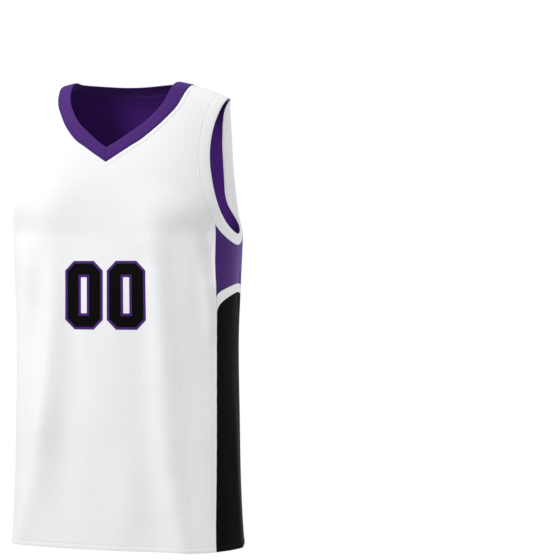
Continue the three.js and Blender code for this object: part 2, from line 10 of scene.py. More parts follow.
import bpy
import numpy as np
from bpy.props import FloatProperty, FloatVectorProperty, PointerProperty
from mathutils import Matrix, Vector


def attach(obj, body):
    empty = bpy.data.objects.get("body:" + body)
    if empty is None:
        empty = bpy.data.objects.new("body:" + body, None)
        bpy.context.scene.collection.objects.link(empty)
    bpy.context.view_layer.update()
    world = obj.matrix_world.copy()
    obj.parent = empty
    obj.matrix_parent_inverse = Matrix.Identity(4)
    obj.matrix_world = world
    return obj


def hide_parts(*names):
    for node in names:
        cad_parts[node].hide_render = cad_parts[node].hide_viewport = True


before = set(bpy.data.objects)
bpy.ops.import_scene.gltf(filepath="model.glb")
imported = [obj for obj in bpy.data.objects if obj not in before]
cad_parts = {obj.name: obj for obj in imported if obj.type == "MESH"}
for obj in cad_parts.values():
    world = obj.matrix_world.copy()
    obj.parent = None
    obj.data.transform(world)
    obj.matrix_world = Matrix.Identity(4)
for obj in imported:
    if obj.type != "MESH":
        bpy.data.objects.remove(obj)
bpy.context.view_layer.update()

bl_info = {
    "name": "Basketball jersey",
    "version": (1, 0, 0),
    "blender": (4, 5, 0),
    "location": "3D View > Sidebar > Jersey",
    "description": "Builds a hollow sleeveless jersey piece by piece, with its cloth, bands and sewing",
    "category": "Add Mesh",
}

MM = 0.001
BODY = "root"

# Form of the body, as in the part's source
HEM_LEVEL = -753 * MM
UNDERARM_LEVEL = -246 * MM
UPPER_RISE = 300 * MM
TOP_LEVEL = UNDERARM_LEVEL + UPPER_RISE
BODY_DEPTH = 93 * MM
CHEST_FILL = 6 * MM
SHOULDER_HALF_WIDTH = 181 * MM
UNDERARM_FLARE = 14 * MM
FLARE_REACH = 0.33
BODY_SQUARENESS = 2.5
CHEST_SQUARENESS = 1.3
CHEST_REACH = 0.2
ROLL_FRONT, ROLL_SHOULDER, ROLL_BACK = 3.2, 2.3, 3.0
FRONT_ROLL_TURNS = (20, 48)
BACK_ROLL_TURNS = (80, 130)
PULL_DEPTH, PULL_TURN, PULL_SPREAD = 31 * MM, 101, 20
PULL_REACH, PULL_FULLNESS = 0.21, 5
NECK_RISE = 12 * MM
NECK_HALF_WIDTH = 112 * MM
SHOULDER_CURVE = 2.43
BAND_WIDTH = 18 * MM
NECKBAND_WIDTH = 20 * MM
ARC_STRIP = 24 * MM
LEFT_FRONT_SEAM_X = 171.5 * MM
LEFT_BACK_SEAM = (122, 108)
RIGHT_FRONT_SEAM = (71.5, 71.5)
RIGHT_BACK_SEAM = (126, 108)
ARC_SEAM_TOP, ARC_RISE = -351 * MM, 26 * MM
BLACK_SEAM_TOP, BLACK_RISE = -392 * MM, 53 * MM
PER_TURN = 2.6 * MM

# Level and half-width of the body, in millimetres
BODY_ROWS = np.array([
    (-753, 196.5), (-700, 194), (-640, 191.5), (-560, 190),
    (-420, 188), (-330, 191.5), (-266, 194.5), (-246, 195),
]) * MM

# Armhole edge, from the front of the shoulder under the arm to its back: turn, and millimetres
# up the cloth above the underarm
ARMHOLE_ROWS = np.array([
    (60.6, 300), (61.2, 262), (60.2, 238), (57.6, 214), (54.9, 185), (52.8, 161), (51.4, 137),
    (50.8, 110), (51.1, 92), (51.9, 76), (53, 59), (54.7, 45), (58, 31), (62.8, 19.5), (67.5, 12),
    (72.5, 6.5), (78, 2.6), (84, 1), (90, 4), (94.5, 13), (99.5, 33), (106, 55), (109.4, 76),
    (109.9, 105), (109.2, 124), (108.8, 144), (107.8, 170), (106.6, 196), (107.2, 224),
    (110.6, 258), (119.4, 300),
])

# Neckline from the tip of the V to the shoulder, and from there to the back middle: turn,
# millimetres up, and how far the opening leans towards the wearer's left in degrees
NECK_SEAM_ROWS = np.array([
    (0, 82, 0), (6.5, 91, 0.3), (12.2, 99.5, 0.6), (17.5, 108, 0.9), (23.5, 124.5, 1.6),
    (27.3, 142, 2.1), (30.2, 163, 2.3), (32.2, 207, 2.3), (33, 255, 2), (33, 300, 1.8),
])
NECK_EDGE_ROWS = np.array([
    (0, 98, 0), (6, 106, 0.7), (11, 115, 1.3), (15.2, 123, 1.7), (18.5, 131.7, 2),
    (22.2, 147.5, 2.4), (24.4, 166, 2.5), (25.8, 207, 2.4), (26.4, 255, 2.1), (26.8, 300, 1.9),
])
BACK_NECK_SEAM_ROWS = np.array([
    (147, 300, -1.8), (147.3, 262, -1.7), (150.5, 225, -1.5), (157, 202, -1),
    (166, 189, -0.4), (174, 184.5, 0), (180, 183.6, 0),
])
BACK_NECK_EDGE_ROWS = np.array([
    (153.2, 300, -1.9), (153.5, 278, -1.8), (156, 252, -1.5), (161.5, 232, -1),
    (169, 219.5, -0.4), (175, 215, 0), (180, 214, 0),
])

# Folds: turn and level where one starts and where it ends, its width, its depth (out is
# positive) and how far it bows sideways, in degrees and millimetres. The first rows are those
# of the part's source, the others are finer creases.
MAIN_FOLD_ROWS = [
    (-28, -285, -37, -605, 17, 9, -5),  # right hip ridge, upper
    (-30, -475, -53, -744, 24, 9, -14),  # right hip ridge, lower
    (-18, -445, -22, -748, 25, -4.5, 5),  # right hip hollow
    (-35, -264, -43, -449, 16, -4.5, 0),  # right side hollow
    (-54, -430, -55, -589, 22, 3.5, 0),  # right side ridge
    (-21, -176, -42, -338, 34, 7.5, 8),  # right chest swell
    (23, -231, 29, -508, 16, 8.5, -1),  # left hip ridge, upper
    (28, -497, 38.7, -752, 16, 8, 7),  # left hip ridge, lower
    (47, -273, 51, -534, 22, -2.4, 3),  # left side hollow
    (30, -645, 47, -750, 22, 6, 5),  # left hem swell
    (34, -644, 14, -748, 34, -3.2, -8),  # left hem hollow
    (22, -553, 22, -753, 24, -4, 4),  # left belly hollow
    (-8.5, -549, -7.5, -753, 32, -4, -10),  # middle hollow
    (17, -345, 15.5, -591, 29, -4, -5),  # upper middle hollow
    (40, -207, 17, -274, 34, 6, 14),  # left chest swell
    (138, -250, 146, -460, 26, -4, 4),  # back left hollow
    (132, -400, 122, -740, 26, 6, -8),  # back left ridge
    (172, -420, 176, -753, 30, -4.5, 6),  # back middle hollow
    (160, -480, 154, -753, 22, 5, -4),  # back middle ridge
    (-150, -350, -142, -745, 24, 7, 9),  # back right ridge
    (-136, -260, -128, -480, 24, -4, -5),  # back right hollow
    (84, -520, 88, -753, 22, 3.5, 4),  # left side fold
    (-88, -500, -94, -753, 22, 3.5, -4),  # right side fold
]
FINE_FOLD_ROWS = [
    (51.8, -216, 53.3, -296, 10, -3.5, 10),
    (47.5, -306, 55, -410, 10, 4, -3),
    (51.3, -255, 54.4, -319, 10, -3.5, -2),
    (-22, -273, -16, -472, 11, -1.8, 1),
    (42, -352, 40, -740, 14, -1.2, -1),
    (55, -440, 51, -740, 15, 1.5, -6),
    (150, -215, 138, -300, 12, -3, 5),
    (-147, -230, -133, -330, 12, 3.5, -4),
    (168, -560, 166, -748, 12, 2, 3),
    (-165, -600, -168, -753, 14, -2.5, -3),
    (118, -300, 126, -420, 12, 3, 3),
    (92, -300, 96, -372, 10, -2, 2),
    (-104, -560, -108, -753, 12, -2, 3),
]
FOLD_ROWS = MAIN_FOLD_ROWS + FINE_FOLD_ROWS
FOLD_START = (-0.15, 0.35)
FOLD_END = (0.75, 1.2)
NEAR_HEM = 20 * MM

# How the pieces are stacked: outer face and inner face of each, inside the outer cloth's face
CLOTH_WALL = (0.0, 0.8 * MM)
LINING_WALL = (1.55 * MM, 2.35 * MM)
BAND_WALL = (0.0, 1.2 * MM)
SEAM_ALLOWANCE = 1.1 * MM
SCENE_GAP = 0.2 * MM

# How finely the pieces are divided
HALF_COLUMNS = 46
CHEST_ROWS = 30
NECK_ROWS = 60
BACK_CHEST_ROWS = 40
BACK_NECK_ROWS = 40
BODY_COUNT = 104
BLACK_COUNT = 88
SIDE_COLUMNS = 36
INSERT_ROWS = 26
ARC_ROWS = 12
BAND_COLUMNS = 16
FINE_EDGE = np.array([0, 0.4, 0.9, 1.5, 2.2, 3.0, 4.2, 5.6, 7.0, 8.6, 10.4]) * MM
FINE_HEM = np.array([0, 0.3, 0.8, 1.6, 3, 5, 6.4, 7.2, 7.8, 8.2, 8.8, 9.6, 11, 14]) * MM
EDGE_FINENESS = 640
NECK_LINE_COUNT = 300
SEAM_LINE_COUNT = 400
ARMHOLE_COLUMNS = 180

# How places are found along the cloth: steps off an edge, and where and how often the turn of the
# upright seam is halved
EDGE_STEPS = 8
SEAM_SEARCH = (30.0, 80.0)
SEAM_HALVINGS = 30


# ---- Numbers along curves -------------------------------------------------------------------

def ease(value, limits):
    """0 below the first limit and 1 above the second, with level ends: 3s^2 - 2s^3 between."""
    share = np.clip((value - limits[0]) / (limits[1] - limits[0]), 0, 1)
    return share * share * (3 - 2 * share)


def smooth_table(keys, values, at):
    """Cubic through the rows of a table, whose slope at a row is that between its neighbours."""
    at = np.clip(at, keys[0], keys[-1])
    row = np.clip(np.searchsorted(keys, at) - 1, 0, len(keys) - 2)
    slope = np.empty(len(keys))
    slope[1:-1] = (values[2:] - values[:-2]) / (keys[2:] - keys[:-2])
    slope[0] = (values[1] - values[0]) / (keys[1] - keys[0])
    slope[-1] = (values[-1] - values[-2]) / (keys[-1] - keys[-2])
    span = keys[row + 1] - keys[row]
    s = (at - keys[row]) / span
    return ((2 * s**3 - 3 * s**2 + 1) * values[row] + (s**3 - 2 * s**2 + s) * span * slope[row]
            + (3 * s**2 - 2 * s**3) * values[row + 1] + (s**3 - s**2) * span * slope[row + 1])


def squared(turn, squareness):
    """Sine and cosine of an angle, divided by the length that puts them on a superellipse."""
    across, ahead = np.sin(np.radians(turn)), np.cos(np.radians(turn))
    total = np.abs(across) ** squareness + np.abs(ahead) ** squareness
    radius = total ** (-1 / squareness)
    return across * radius, ahead * radius


def wrapped(turn):
    """The same turn between -180 and 180 degrees."""
    return (np.asarray(turn, float) + 180) % 360 - 180


# ---- The surface ----------------------------------------------------------------------------

def body_point(turn, level):
    """Point of the smooth body. Each level is a superellipse ring, half-width across and depth
    ahead. Above the underarm the rise is a quarter turn whose squared cosine draws the ring in
    to the shoulder line and whose squared sine lifts it there."""
    turn, level = np.broadcast_arrays(wrapped(turn), np.asarray(level, float))
    side = np.abs(turn)
    rise = np.clip((level - UNDERARM_LEVEL) / UPPER_RISE, 0, 1) * 90
    roll = (ROLL_FRONT + (ROLL_SHOULDER - ROLL_FRONT) * ease(side, FRONT_ROLL_TURNS)
            + (ROLL_BACK - ROLL_SHOULDER) * ease(side, BACK_ROLL_TURNS))
    height, ahead_share = squared(rise, roll)
    lowest = np.minimum(level, UNDERARM_LEVEL)
    narrowing = UNDERARM_FLARE * (1 - np.exp(-((height / FLARE_REACH) ** 2)))
    half_width = smooth_table(BODY_ROWS[:, 0], BODY_ROWS[:, 1], lowest) - narrowing
    depth = BODY_DEPTH + CHEST_FILL * np.sin(np.pi * height)
    squareness = BODY_SQUARENESS + CHEST_SQUARENESS * (1 - np.exp(-((height / CHEST_REACH) ** 2)))
    across, ahead = squared(turn, squareness)
    near_edge = np.exp(-(((side - PULL_TURN) / PULL_SPREAD) ** 2))
    starting = 1 - np.exp(-((height / PULL_REACH) ** 2))
    ending = np.sqrt(np.maximum(0, 1 - height**PULL_FULLNESS))
    pull = PULL_DEPTH * near_edge * starting * ending
    top_x = np.abs(SHOULDER_HALF_WIDTH * squared(turn, BODY_SQUARENESS + CHEST_SQUARENESS)[0])
    shoulder = NECK_RISE * (1 - (top_x / NECK_HALF_WIDTH) ** SHOULDER_CURVE)
    z = np.where(level > UNDERARM_LEVEL,
                 UNDERARM_LEVEL + (shoulder - UNDERARM_LEVEL) * height, level)
    x = half_width * across - np.sign(turn) * pull
    return np.stack([x, -depth * ahead * ahead_share, z], -1)


PROBE = 0.25 * MM
PROBE_TURN = 0.1


def outward(turn, level):
    """Direction out of the cloth: the cross product of a short step round and one upward."""
    low = np.minimum(level, TOP_LEVEL - 2 * PROBE) - PROBE
    round_step = body_point(turn + PROBE_TURN, low + PROBE) - body_point(turn - PROBE_TURN, low + PROBE)
    up_step = body_point(turn, low + 2 * PROBE) - body_point(turn, low)
    normal = np.cross(round_step, up_step)
    return normal / np.linalg.norm(normal, axis=-1, keepdims=True)


def fold_depth(turn, level):
    """Sum of soft ridges and hollows. Each is a bell curve of the distance from its line, which
    may bow sideways as a parabola, times a swell at its start and a fade at its end."""
    depth = np.zeros(np.broadcast(turn, level).shape)
    for from_turn, from_level, to_turn, to_level, width, height, bow in FOLD_ROWS:
        around = PER_TURN * (to_turn - from_turn)
        along = (to_level - from_level) * MM
        length = math.hypot(around, along)
        aside_turn = PER_TURN * wrapped(turn - from_turn)
        down = level - from_level * MM
        share = (aside_turn * around + down * along) / length**2
        inside = np.clip(share, 0, 1)
        aside = (aside_turn * along - down * around) / length - bow * MM * 4 * inside * (1 - inside)
        to_hem = to_level * MM <= HEM_LEVEL + NEAR_HEM
        fade = ease(share, FOLD_START) * (1 if to_hem else 1 - ease(share, FOLD_END))
        depth += height * MM * fade * np.exp(-((aside / (width * MM)) ** 2))
    return depth


def cloth_point(turn, level, out):
    """Point of the folded cloth, a distance outside its face along the outward direction."""
    turn, level = np.asarray(turn, float), np.asarray(level, float)
    shift = fold_depth(turn, level) + out
    return body_point(turn, level) + outward(turn, level) * shift[..., None]


# ---- Lengths along the cloth, for the weave --------------------------------------------------

RING_TURNS = np.linspace(-180, 180, 721)
RING_LEVEL = -0.5
RING_STEPS = np.linalg.norm(np.diff(body_point(RING_TURNS, RING_LEVEL), axis=0), axis=1)
RING_LENGTHS = np.concatenate([[0], np.cumsum(RING_STEPS)])
RING_LENGTHS -= RING_LENGTHS[len(RING_LENGTHS) // 2]
RISE_TURNS = np.linspace(-180, 180, 121)
RISE_LEVELS = np.linspace(UNDERARM_LEVEL, TOP_LEVEL, 76)
RISE_POINTS = body_point(RISE_TURNS[:, None], RISE_LEVELS[None, :])
RISE_LENGTHS = np.concatenate(
    [np.zeros((len(RISE_TURNS), 1)),
     np.cumsum(np.linalg.norm(np.diff(RISE_POINTS, axis=1), axis=2), axis=1)], axis=1)


def woven_place(turn, level):
    """Distance round the body and height along the cloth, read from tables of both lengths."""
    turn, level = np.broadcast_arrays(np.asarray(turn, float), np.asarray(level, float))
    lap = np.floor((turn + 180) / 360)
    inside = turn - 360 * lap
    full = RING_LENGTHS[-1] - RING_LENGTHS[0]
    round_it = np.interp(inside, RING_TURNS, RING_LENGTHS) + lap * full
    column = np.clip((inside + 180) / 360 * (len(RISE_TURNS) - 1), 0, len(RISE_TURNS) - 1.001)
    row = np.clip((level - UNDERARM_LEVEL) / UPPER_RISE, 0, 1) * (len(RISE_LEVELS) - 1.001)
    i, j = column.astype(int), row.astype(int)
    a, b = column - i, row - j
    risen = ((1 - a) * ((1 - b) * RISE_LENGTHS[i, j] + b * RISE_LENGTHS[i, j + 1])
             + a * ((1 - b) * RISE_LENGTHS[i + 1, j] + b * RISE_LENGTHS[i + 1, j + 1]))
    return np.stack([round_it, np.minimum(level, UNDERARM_LEVEL) + risen], -1)


# ---- Edges of the pieces --------------------------------------------------------------------

def curve_places(rows, shares):
    """Places along a table's edge, at shares of its length: a centripetal Catmull-Rom curve
    through the rows, measured finely and read at even lengths."""
    points = np.column_stack([PER_TURN * rows[:, 0], rows[:, 1] * MM,
                              rows[:, 2] * MM if rows.shape[1] > 2 else np.zeros(len(rows))])
    full = np.vstack([2 * points[0] - points[1], points, 2 * points[-1] - points[-2]])
    gaps = np.linalg.norm(np.diff(full, axis=0), axis=1) ** 0.5
    before, here, after, beyond = full[:-3], full[1:-2], full[2:-1], full[3:]
    d0, d1, d2 = gaps[:-2, None], gaps[1:-1, None], gaps[2:, None]
    leave = ((here - before) / d0 - (after - before) / (d0 + d1) + (after - here) / d1) * d1
    arrive = ((after - here) / d1 - (beyond - here) / (d1 + d2) + (beyond - after) / d2) * d1
    s = np.linspace(0, 1, 33)[None, :, None]
    c2 = -3 * here + 3 * after - 2 * leave - arrive
    c3 = 2 * here - 2 * after + leave + arrive
    line = here[:, None] + leave[:, None] * s + c2[:, None] * s**2 + c3[:, None] * s**3
    line = np.vstack([line[:, :-1].reshape(-1, 3), points[-1:]])
    length = np.concatenate([[0], np.cumsum(np.linalg.norm(np.diff(line, axis=0), axis=1))])
    at = np.asarray(shares) * length[-1]
    turn, up, lean = (np.interp(at, length, line[:, k]) for k in range(3))
    return np.stack([turn / PER_TURN, UNDERARM_LEVEL + np.minimum(up, UPPER_RISE), lean / MM], -1)


def step_from(place, ahead, distance):
    """Place a distance to the right of an edge: short steps along the cloth, square to the edge,
    each turned into degrees and level by the two directions of the surface."""
    turn, level = place[:, 0].copy(), place[:, 1].copy()
    for _ in range(EDGE_STEPS):
        base = np.minimum(level, TOP_LEVEL - PROBE)
        beyond, before = body_point(turn + PROBE_TURN, base), body_point(turn - PROBE_TURN, base)
        round_it = (beyond - before) / (2 * PROBE_TURN)
        upward = (body_point(turn, base) - body_point(turn, base - PROBE)) / PROBE
        edge = round_it * ahead[:, :1] + upward * ahead[:, 1:]
        square = np.cross(edge, np.cross(round_it, upward))
        square *= distance / EDGE_STEPS / np.linalg.norm(square, axis=1, keepdims=True)
        rr, ru, uu = ((a * b).sum(1) for a, b in
                      ((round_it, round_it), (round_it, upward), (upward, upward)))
        sr, su = (square * round_it).sum(1), (square * upward).sum(1)
        turn += (sr * uu - su * ru) / (rr * uu - ru * ru)
        level += (su * rr - sr * ru) / (rr * uu - ru * ru)
    return turn, level


def moved_edge(places, distance):
    """An edge moved sideways over the body, to the right of the way it runs, seen from outside."""
    index = np.arange(len(places))
    ahead = places[np.minimum(index + 1, index[-1]), :2] - places[np.maximum(index - 1, 0), :2]
    at_shoulder = places[:, 1] > TOP_LEVEL - 1 * MM
    ahead[at_shoulder, 0] = 0
    turn, level = step_from(places, ahead, distance)
    moved = places.copy()
    moved[:, 0] = turn
    moved[:, 1] = np.where(at_shoulder, places[:, 1], level)
    return moved


ARMHOLE_EDGE = curve_places(ARMHOLE_ROWS, np.linspace(0, 1, EDGE_FINENESS + 1))
PANEL_EDGE = moved_edge(ARMHOLE_EDGE, BAND_WIDTH + SCENE_GAP / 2)
BAND_SEAM = moved_edge(ARMHOLE_EDGE, BAND_WIDTH - SCENE_GAP / 2)
SEAM_TURN = SCENE_GAP / 2 / PER_TURN


def place_at(edge, position):
    """Turn and level on a finely divided edge, at positions that may lie between its places."""
    index = np.arange(len(edge))
    return np.stack([np.interp(position, index, edge[:, 0]), np.interp(position, index, edge[:, 1])], -1)


def upright_seam(level):
    """Turn at which the body is as wide as the straight upright side seam, by halving."""
    low, high = (np.full(np.shape(level), end) for end in SEAM_SEARCH)
    for _ in range(SEAM_HALVINGS):
        middle = (low + high) / 2
        short = body_point(middle, level)[..., 0] < LEFT_FRONT_SEAM_X
        low, high = np.where(short, middle, low), np.where(short, high, middle)
    return low


def slanting_seam(hem, top):
    """Turn of a side seam that slants evenly between the hem and the underarm."""
    def turn(level):
        """Turn at a level, by its share of the way up."""
        share = (np.asarray(level, float) - HEM_LEVEL) / (UNDERARM_LEVEL - HEM_LEVEL)
        return hem + (top - hem) * share
    return turn


def seam_corner(seam_turn, first, last):
    """Position on the panel edge where a side seam crosses it."""
    beyond = PANEL_EDGE[first:last, 0] - seam_turn(PANEL_EDGE[first:last, 1])
    index = int(np.nonzero((beyond[:-1] <= 0) & (beyond[1:] > 0))[0][0])
    return first + index + beyond[index] / (beyond[index] - beyond[index + 1])


class BodySide:
    """One side of the body: its sign, its two side seams and where they end on the band's edge.
    Turns are worked out as on the left, and place() puts them on the side."""

    def __init__(self, word, sign, front_seam, back_seam):
        """Keeps the seams and finds their ends on either side of the edge's lowest place."""
        lowest = int(PANEL_EDGE[:, 1].argmin())
        self.word, self.sign = word, sign
        self.front_seam, self.back_seam = front_seam, back_seam
        self.front_corner = seam_corner(front_seam, EDGE_FINENESS // 4, lowest + 2)
        self.back_corner = seam_corner(back_seam, lowest, EDGE_FINENESS)

    def place(self, spots):
        """Places put on this side, without changing their order."""
        return spots if self.sign > 0 else mirrored(spots)

    def grid(self, rows):
        """A grid put on this side, its columns still running towards the wearer's left."""
        return rows if self.sign > 0 else mirrored(rows)[:, ::-1]


def mirrored(spots):
    """The same places on the other side of the body. Further numbers of a place are kept."""
    turned = spots.copy()
    turned[..., 0] *= -1
    return turned


LEFT = BodySide("left", 1, upright_seam, slanting_seam(*LEFT_BACK_SEAM))
RIGHT = BodySide("right", -1, slanting_seam(*RIGHT_FRONT_SEAM), slanting_seam(*RIGHT_BACK_SEAM))
SIDES = (LEFT, RIGHT)


# ---- Patches of cloth -----------------------------------------------------------------------

def row_shares(starts, ends, columns, fine_start, fine_end):
    """Shares along each row, even in the middle and close together near its fine ends."""
    steps = np.linspace(0, 1, 9)[None, :, None]
    way = starts[:, None] + (ends - starts)[:, None] * steps
    points = body_point(way[..., 0], way[..., 1])
    length = np.linalg.norm(np.diff(points, axis=1), axis=2).sum(1)[:, None]
    first = FINE_EDGE[None] / length if fine_start else np.zeros((len(starts), 1))
    last = 1 - FINE_EDGE[None, ::-1] / length if fine_end else np.ones((len(starts), 1))
    inner = columns - (first.shape[1] - 1) - (last.shape[1] - 1)
    even = np.linspace(0, 1, inner + 1)[None, 1:-1]
    middle = first[:, -1:] + (last[:, :1] - first[:, -1:]) * even
    return np.hstack([first, middle, last])


def cloth_rows(starts, ends, columns, fine_start=False, fine_end=False):
    """Rows of places, straight in turn and level, from one edge to the other."""
    shares = row_shares(starts, ends, columns, fine_start, fine_end)[..., None]
    return starts[:, None] + (ends - starts)[:, None] * shares


def places(turn, level):
    """Places from a turn and a level, either of which may be one number."""
    return np.stack(np.broadcast_arrays(np.asarray(turn, float), np.asarray(level, float)), -1)


def leaning(edge, side):
    """Places of the neckline on one side, shifted by its lean."""
    return places(side * edge[:, 0] + edge[:, 2], edge[:, 1])


def body_levels(top):
    """Levels of the rows from the hem to a level, close together where the hem is sewn."""
    low = HEM_LEVEL + FINE_HEM
    return np.concatenate([low, np.linspace(low[-1], top, BODY_COUNT + 1)[1:]])


def panel_neck(rows, count):
    """Neck edge of a panel: the band's seam, moved off it by the seam gap."""
    edge = curve_places(rows, np.linspace(0, 1, count + 1))
    moved = moved_edge(edge, SCENE_GAP)
    middle = rows[:, 0] % 180 == 0
    ends = {0: middle[0], count: middle[-1]}
    for index, fixed in ends.items():
        if fixed:
            moved[index, 0] = edge[index, 0]
    return moved


def panel_edge(stations, seam_turn, gap):
    """Places up one side of a panel: the side seam from the hem, then the armhole band's seam."""
    sides = place_at(PANEL_EDGE, stations)
    sides[:, 1] = np.minimum(sides[:, 1], TOP_LEVEL - SCENE_GAP / 2)
    levels = body_levels(sides[0, 1])[:-1]
    return np.vstack([places(seam_turn(levels) + gap, levels), sides])


def middle_places(turn, edges, full, chest, neck_level):
    """Places up the middle of a panel: as far as the side seams go, then on to the neck."""
    corner = (edges[0][full - 1 - chest, 1] + edges[1][full - 1 - chest, 1]) / 2
    levels = np.concatenate([body_levels(corner)[:-1], np.linspace(corner, neck_level, chest + 1)])
    return places(turn, levels)


def front_patches():
    """Front panel: full rows up to the tip of the V, then one block for each strap."""
    neck = panel_neck(NECK_SEAM_ROWS, NECK_ROWS)
    left, right = edges = [
        side.place(panel_edge(np.linspace(side.front_corner, 0, CHEST_ROWS + NECK_ROWS + 1),
                              side.front_seam, -SEAM_TURN)) for side in SIDES]
    full = len(left) - NECK_ROWS
    middle = middle_places(0, edges, full, CHEST_ROWS, neck[0, 1])
    left_half = cloth_rows(middle, left[:full], HALF_COLUMNS, fine_end=True)
    right_half = cloth_rows(right[:full], middle, HALF_COLUMNS, fine_start=True)
    return [
        np.concatenate([right_half, left_half[:, 1:]], axis=1),
        cloth_rows(leaning(neck, 1), left[full - 1:], HALF_COLUMNS, True, True),
        cloth_rows(right[full - 1:], leaning(neck, -1), HALF_COLUMNS, True, True),
    ]


FULL_LAP = np.array([360, 0])


def back_patches():
    """Back panel: full rows up to the back of the neck, then one block for each strap. Its turns
    run on past 180 degrees, so that lengths along the cloth don't jump."""
    neck = panel_neck(BACK_NECK_SEAM_ROWS, BACK_NECK_ROWS)[::-1]
    stations = BACK_CHEST_ROWS + BACK_NECK_ROWS + 1
    left, right = edges = [
        side.place(panel_edge(np.linspace(side.back_corner, EDGE_FINENESS, stations),
                              side.back_seam, SEAM_TURN)) for side in SIDES]
    right = right + FULL_LAP
    full = len(left) - BACK_NECK_ROWS
    middle = middle_places(180, edges, full, BACK_CHEST_ROWS, neck[0, 1])
    left_half = cloth_rows(left[:full], middle, HALF_COLUMNS, fine_start=True)
    right_half = cloth_rows(middle, right[:full], HALF_COLUMNS, fine_end=True)
    return [
        np.concatenate([left_half, right_half[:, 1:]], axis=1),
        cloth_rows(left[full - 1:], leaning(neck, 1), HALF_COLUMNS, True, True),
        cloth_rows(leaning(neck, -1) + FULL_LAP, right[full - 1:], HALF_COLUMNS, True, True),
    ]


def side_turn(side, share, level):
    """Turn of a share from -1 at the front seam to 1 at the back seam of the side piece."""
    start = side.front_seam(level) + SEAM_TURN
    end = side.back_seam(level) - SEAM_TURN
    return start + (end - start) * (share + 1) / 2


def side_rows(side, low_share, low_level, high_share, high_level, parts):
    """Rows of a side piece between two curves, straight in share and level along a column."""
    part = np.asarray(parts)[:, None]
    level = low_level + (high_level - low_level) * part
    share = low_share + (high_share - low_share) * part
    return places(side_turn(side, share, level), level)


COLUMN_SHARES = -np.cos(np.pi * np.linspace(0, 1, SIDE_COLUMNS + 1))
CROWN_SKEW, ARC_POWER, BLACK_POWER = 0.3, 0.33, 0.2

# Both crowns stand highest a little behind the middle of the side
CROWN = np.maximum(0, 1 - (COLUMN_SHARES - CROWN_SKEW * (1 - COLUMN_SHARES**2)) ** 2)
ARC_LEVELS = ARC_SEAM_TOP + ARC_RISE * CROWN**ARC_POWER
BLACK_LEVELS = BLACK_SEAM_TOP + BLACK_RISE * CROWN**BLACK_POWER


def close_ends(count):
    """Shares from 0 to 1 that lie close together at both ends: half a cosine wave."""
    return (1 - np.cos(np.pi * np.linspace(0, 1, count + 1))) / 2


def insert_rows(side):
    """Side insert between the arc and the armhole band."""
    stations = np.linspace(side.front_corner, side.back_corner, SIDE_COLUMNS + 1)
    spots = place_at(PANEL_EDGE, stations)
    start, end = side_turn(side, -1, spots[:, 1]), side_turn(side, 1, spots[:, 1])
    share = np.clip(2 * (spots[:, 0] - start) / (end - start) - 1, -1, 1)
    return side_rows(side, COLUMN_SHARES, ARC_LEVELS + SCENE_GAP / 2, share, spots[:, 1],
                     close_ends(INSERT_ROWS))


def arc_rows(side):
    """Curved stripe between the black panel and the insert."""
    return side_rows(side, COLUMN_SHARES, BLACK_LEVELS + SCENE_GAP / 2,
                     COLUMN_SHARES, ARC_LEVELS - SCENE_GAP / 2, close_ends(ARC_ROWS))


def black_rows(side):
    """Black side panel from the hem to its crown, its rows close together at the hem."""
    fine = FINE_HEM / (BLACK_LEVELS.max() - HEM_LEVEL)
    rest = fine[-1] + (1 - fine[-1]) * np.linspace(0, 1, BLACK_COUNT + 1)[1:]
    return side_rows(side, COLUMN_SHARES, np.full(SIDE_COLUMNS + 1, HEM_LEVEL),
                     COLUMN_SHARES, BLACK_LEVELS - SCENE_GAP / 2, np.concatenate([fine, rest]))


def armhole_rows():
    """Armhole band, from its seam to its free edge, and the share across it."""
    stations = np.linspace(0, EDGE_FINENESS, ARMHOLE_COLUMNS + 1)
    seam, free = place_at(BAND_SEAM, stations), place_at(ARMHOLE_EDGE, stations)
    across = close_ends(BAND_COLUMNS)
    return seam[None] + (free - seam)[None] * across[:, None, None], across


def neck_rows():
    """Neckband halves from the mitre at the V to the back middle, and the share across them."""
    near_mitre = np.array([0, 0.4, 0.9, 1.6, 2.6, 4]) * MM
    front_shares = np.concatenate([near_mitre / 0.2, np.linspace(4 * MM / 0.2, 1, 64)[1:]])
    back_shares = np.linspace(0, 1, 41)
    half = lambda front, back: np.vstack(
        [curve_places(front, front_shares), curve_places(back, back_shares)[1:]])
    seam = half(NECK_SEAM_ROWS, BACK_NECK_SEAM_ROWS)
    free = half(NECK_EDGE_ROWS, BACK_NECK_EDGE_ROWS)
    across = close_ends(BAND_COLUMNS)
    strips = []
    for side in (1, -1):
        start, end = leaning(seam, side), leaning(free, side)
        start[0, 0] += side * SEAM_TURN
        end[0, 0] += side * SEAM_TURN
        strips.append(start[None] + (end - start)[None] * across[:, None, None])
    strips[1] = strips[1][:, ::-1] + np.array([360, 0])
    return strips, across


# ---- Walls and meshes -----------------------------------------------------------------------

WELD = 0.02 * MM


def weld(patches):
    """Joins grids of places into one sheet, sharing those at the same point of the body."""
    spots = np.vstack([patch.reshape(-1, patch.shape[-1]) for patch in patches])
    keys = np.round(body_point(spots[:, 0], spots[:, 1]) / WELD).astype(np.int64)
    _, first, index = np.unique(keys, axis=0, return_index=True, return_inverse=True)
    quads, start = [], 0
    for patch in patches:
        rows, columns = patch.shape[:2]
        number = start + np.arange(rows * columns).reshape(rows, columns)
        quads.append(np.stack([number[:-1, :-1], number[:-1, 1:], number[1:, 1:], number[1:, :-1]],
                              -1).reshape(-1, 4))
        start += rows * columns
    return spots[first], index.reshape(-1)[np.vstack(quads)]


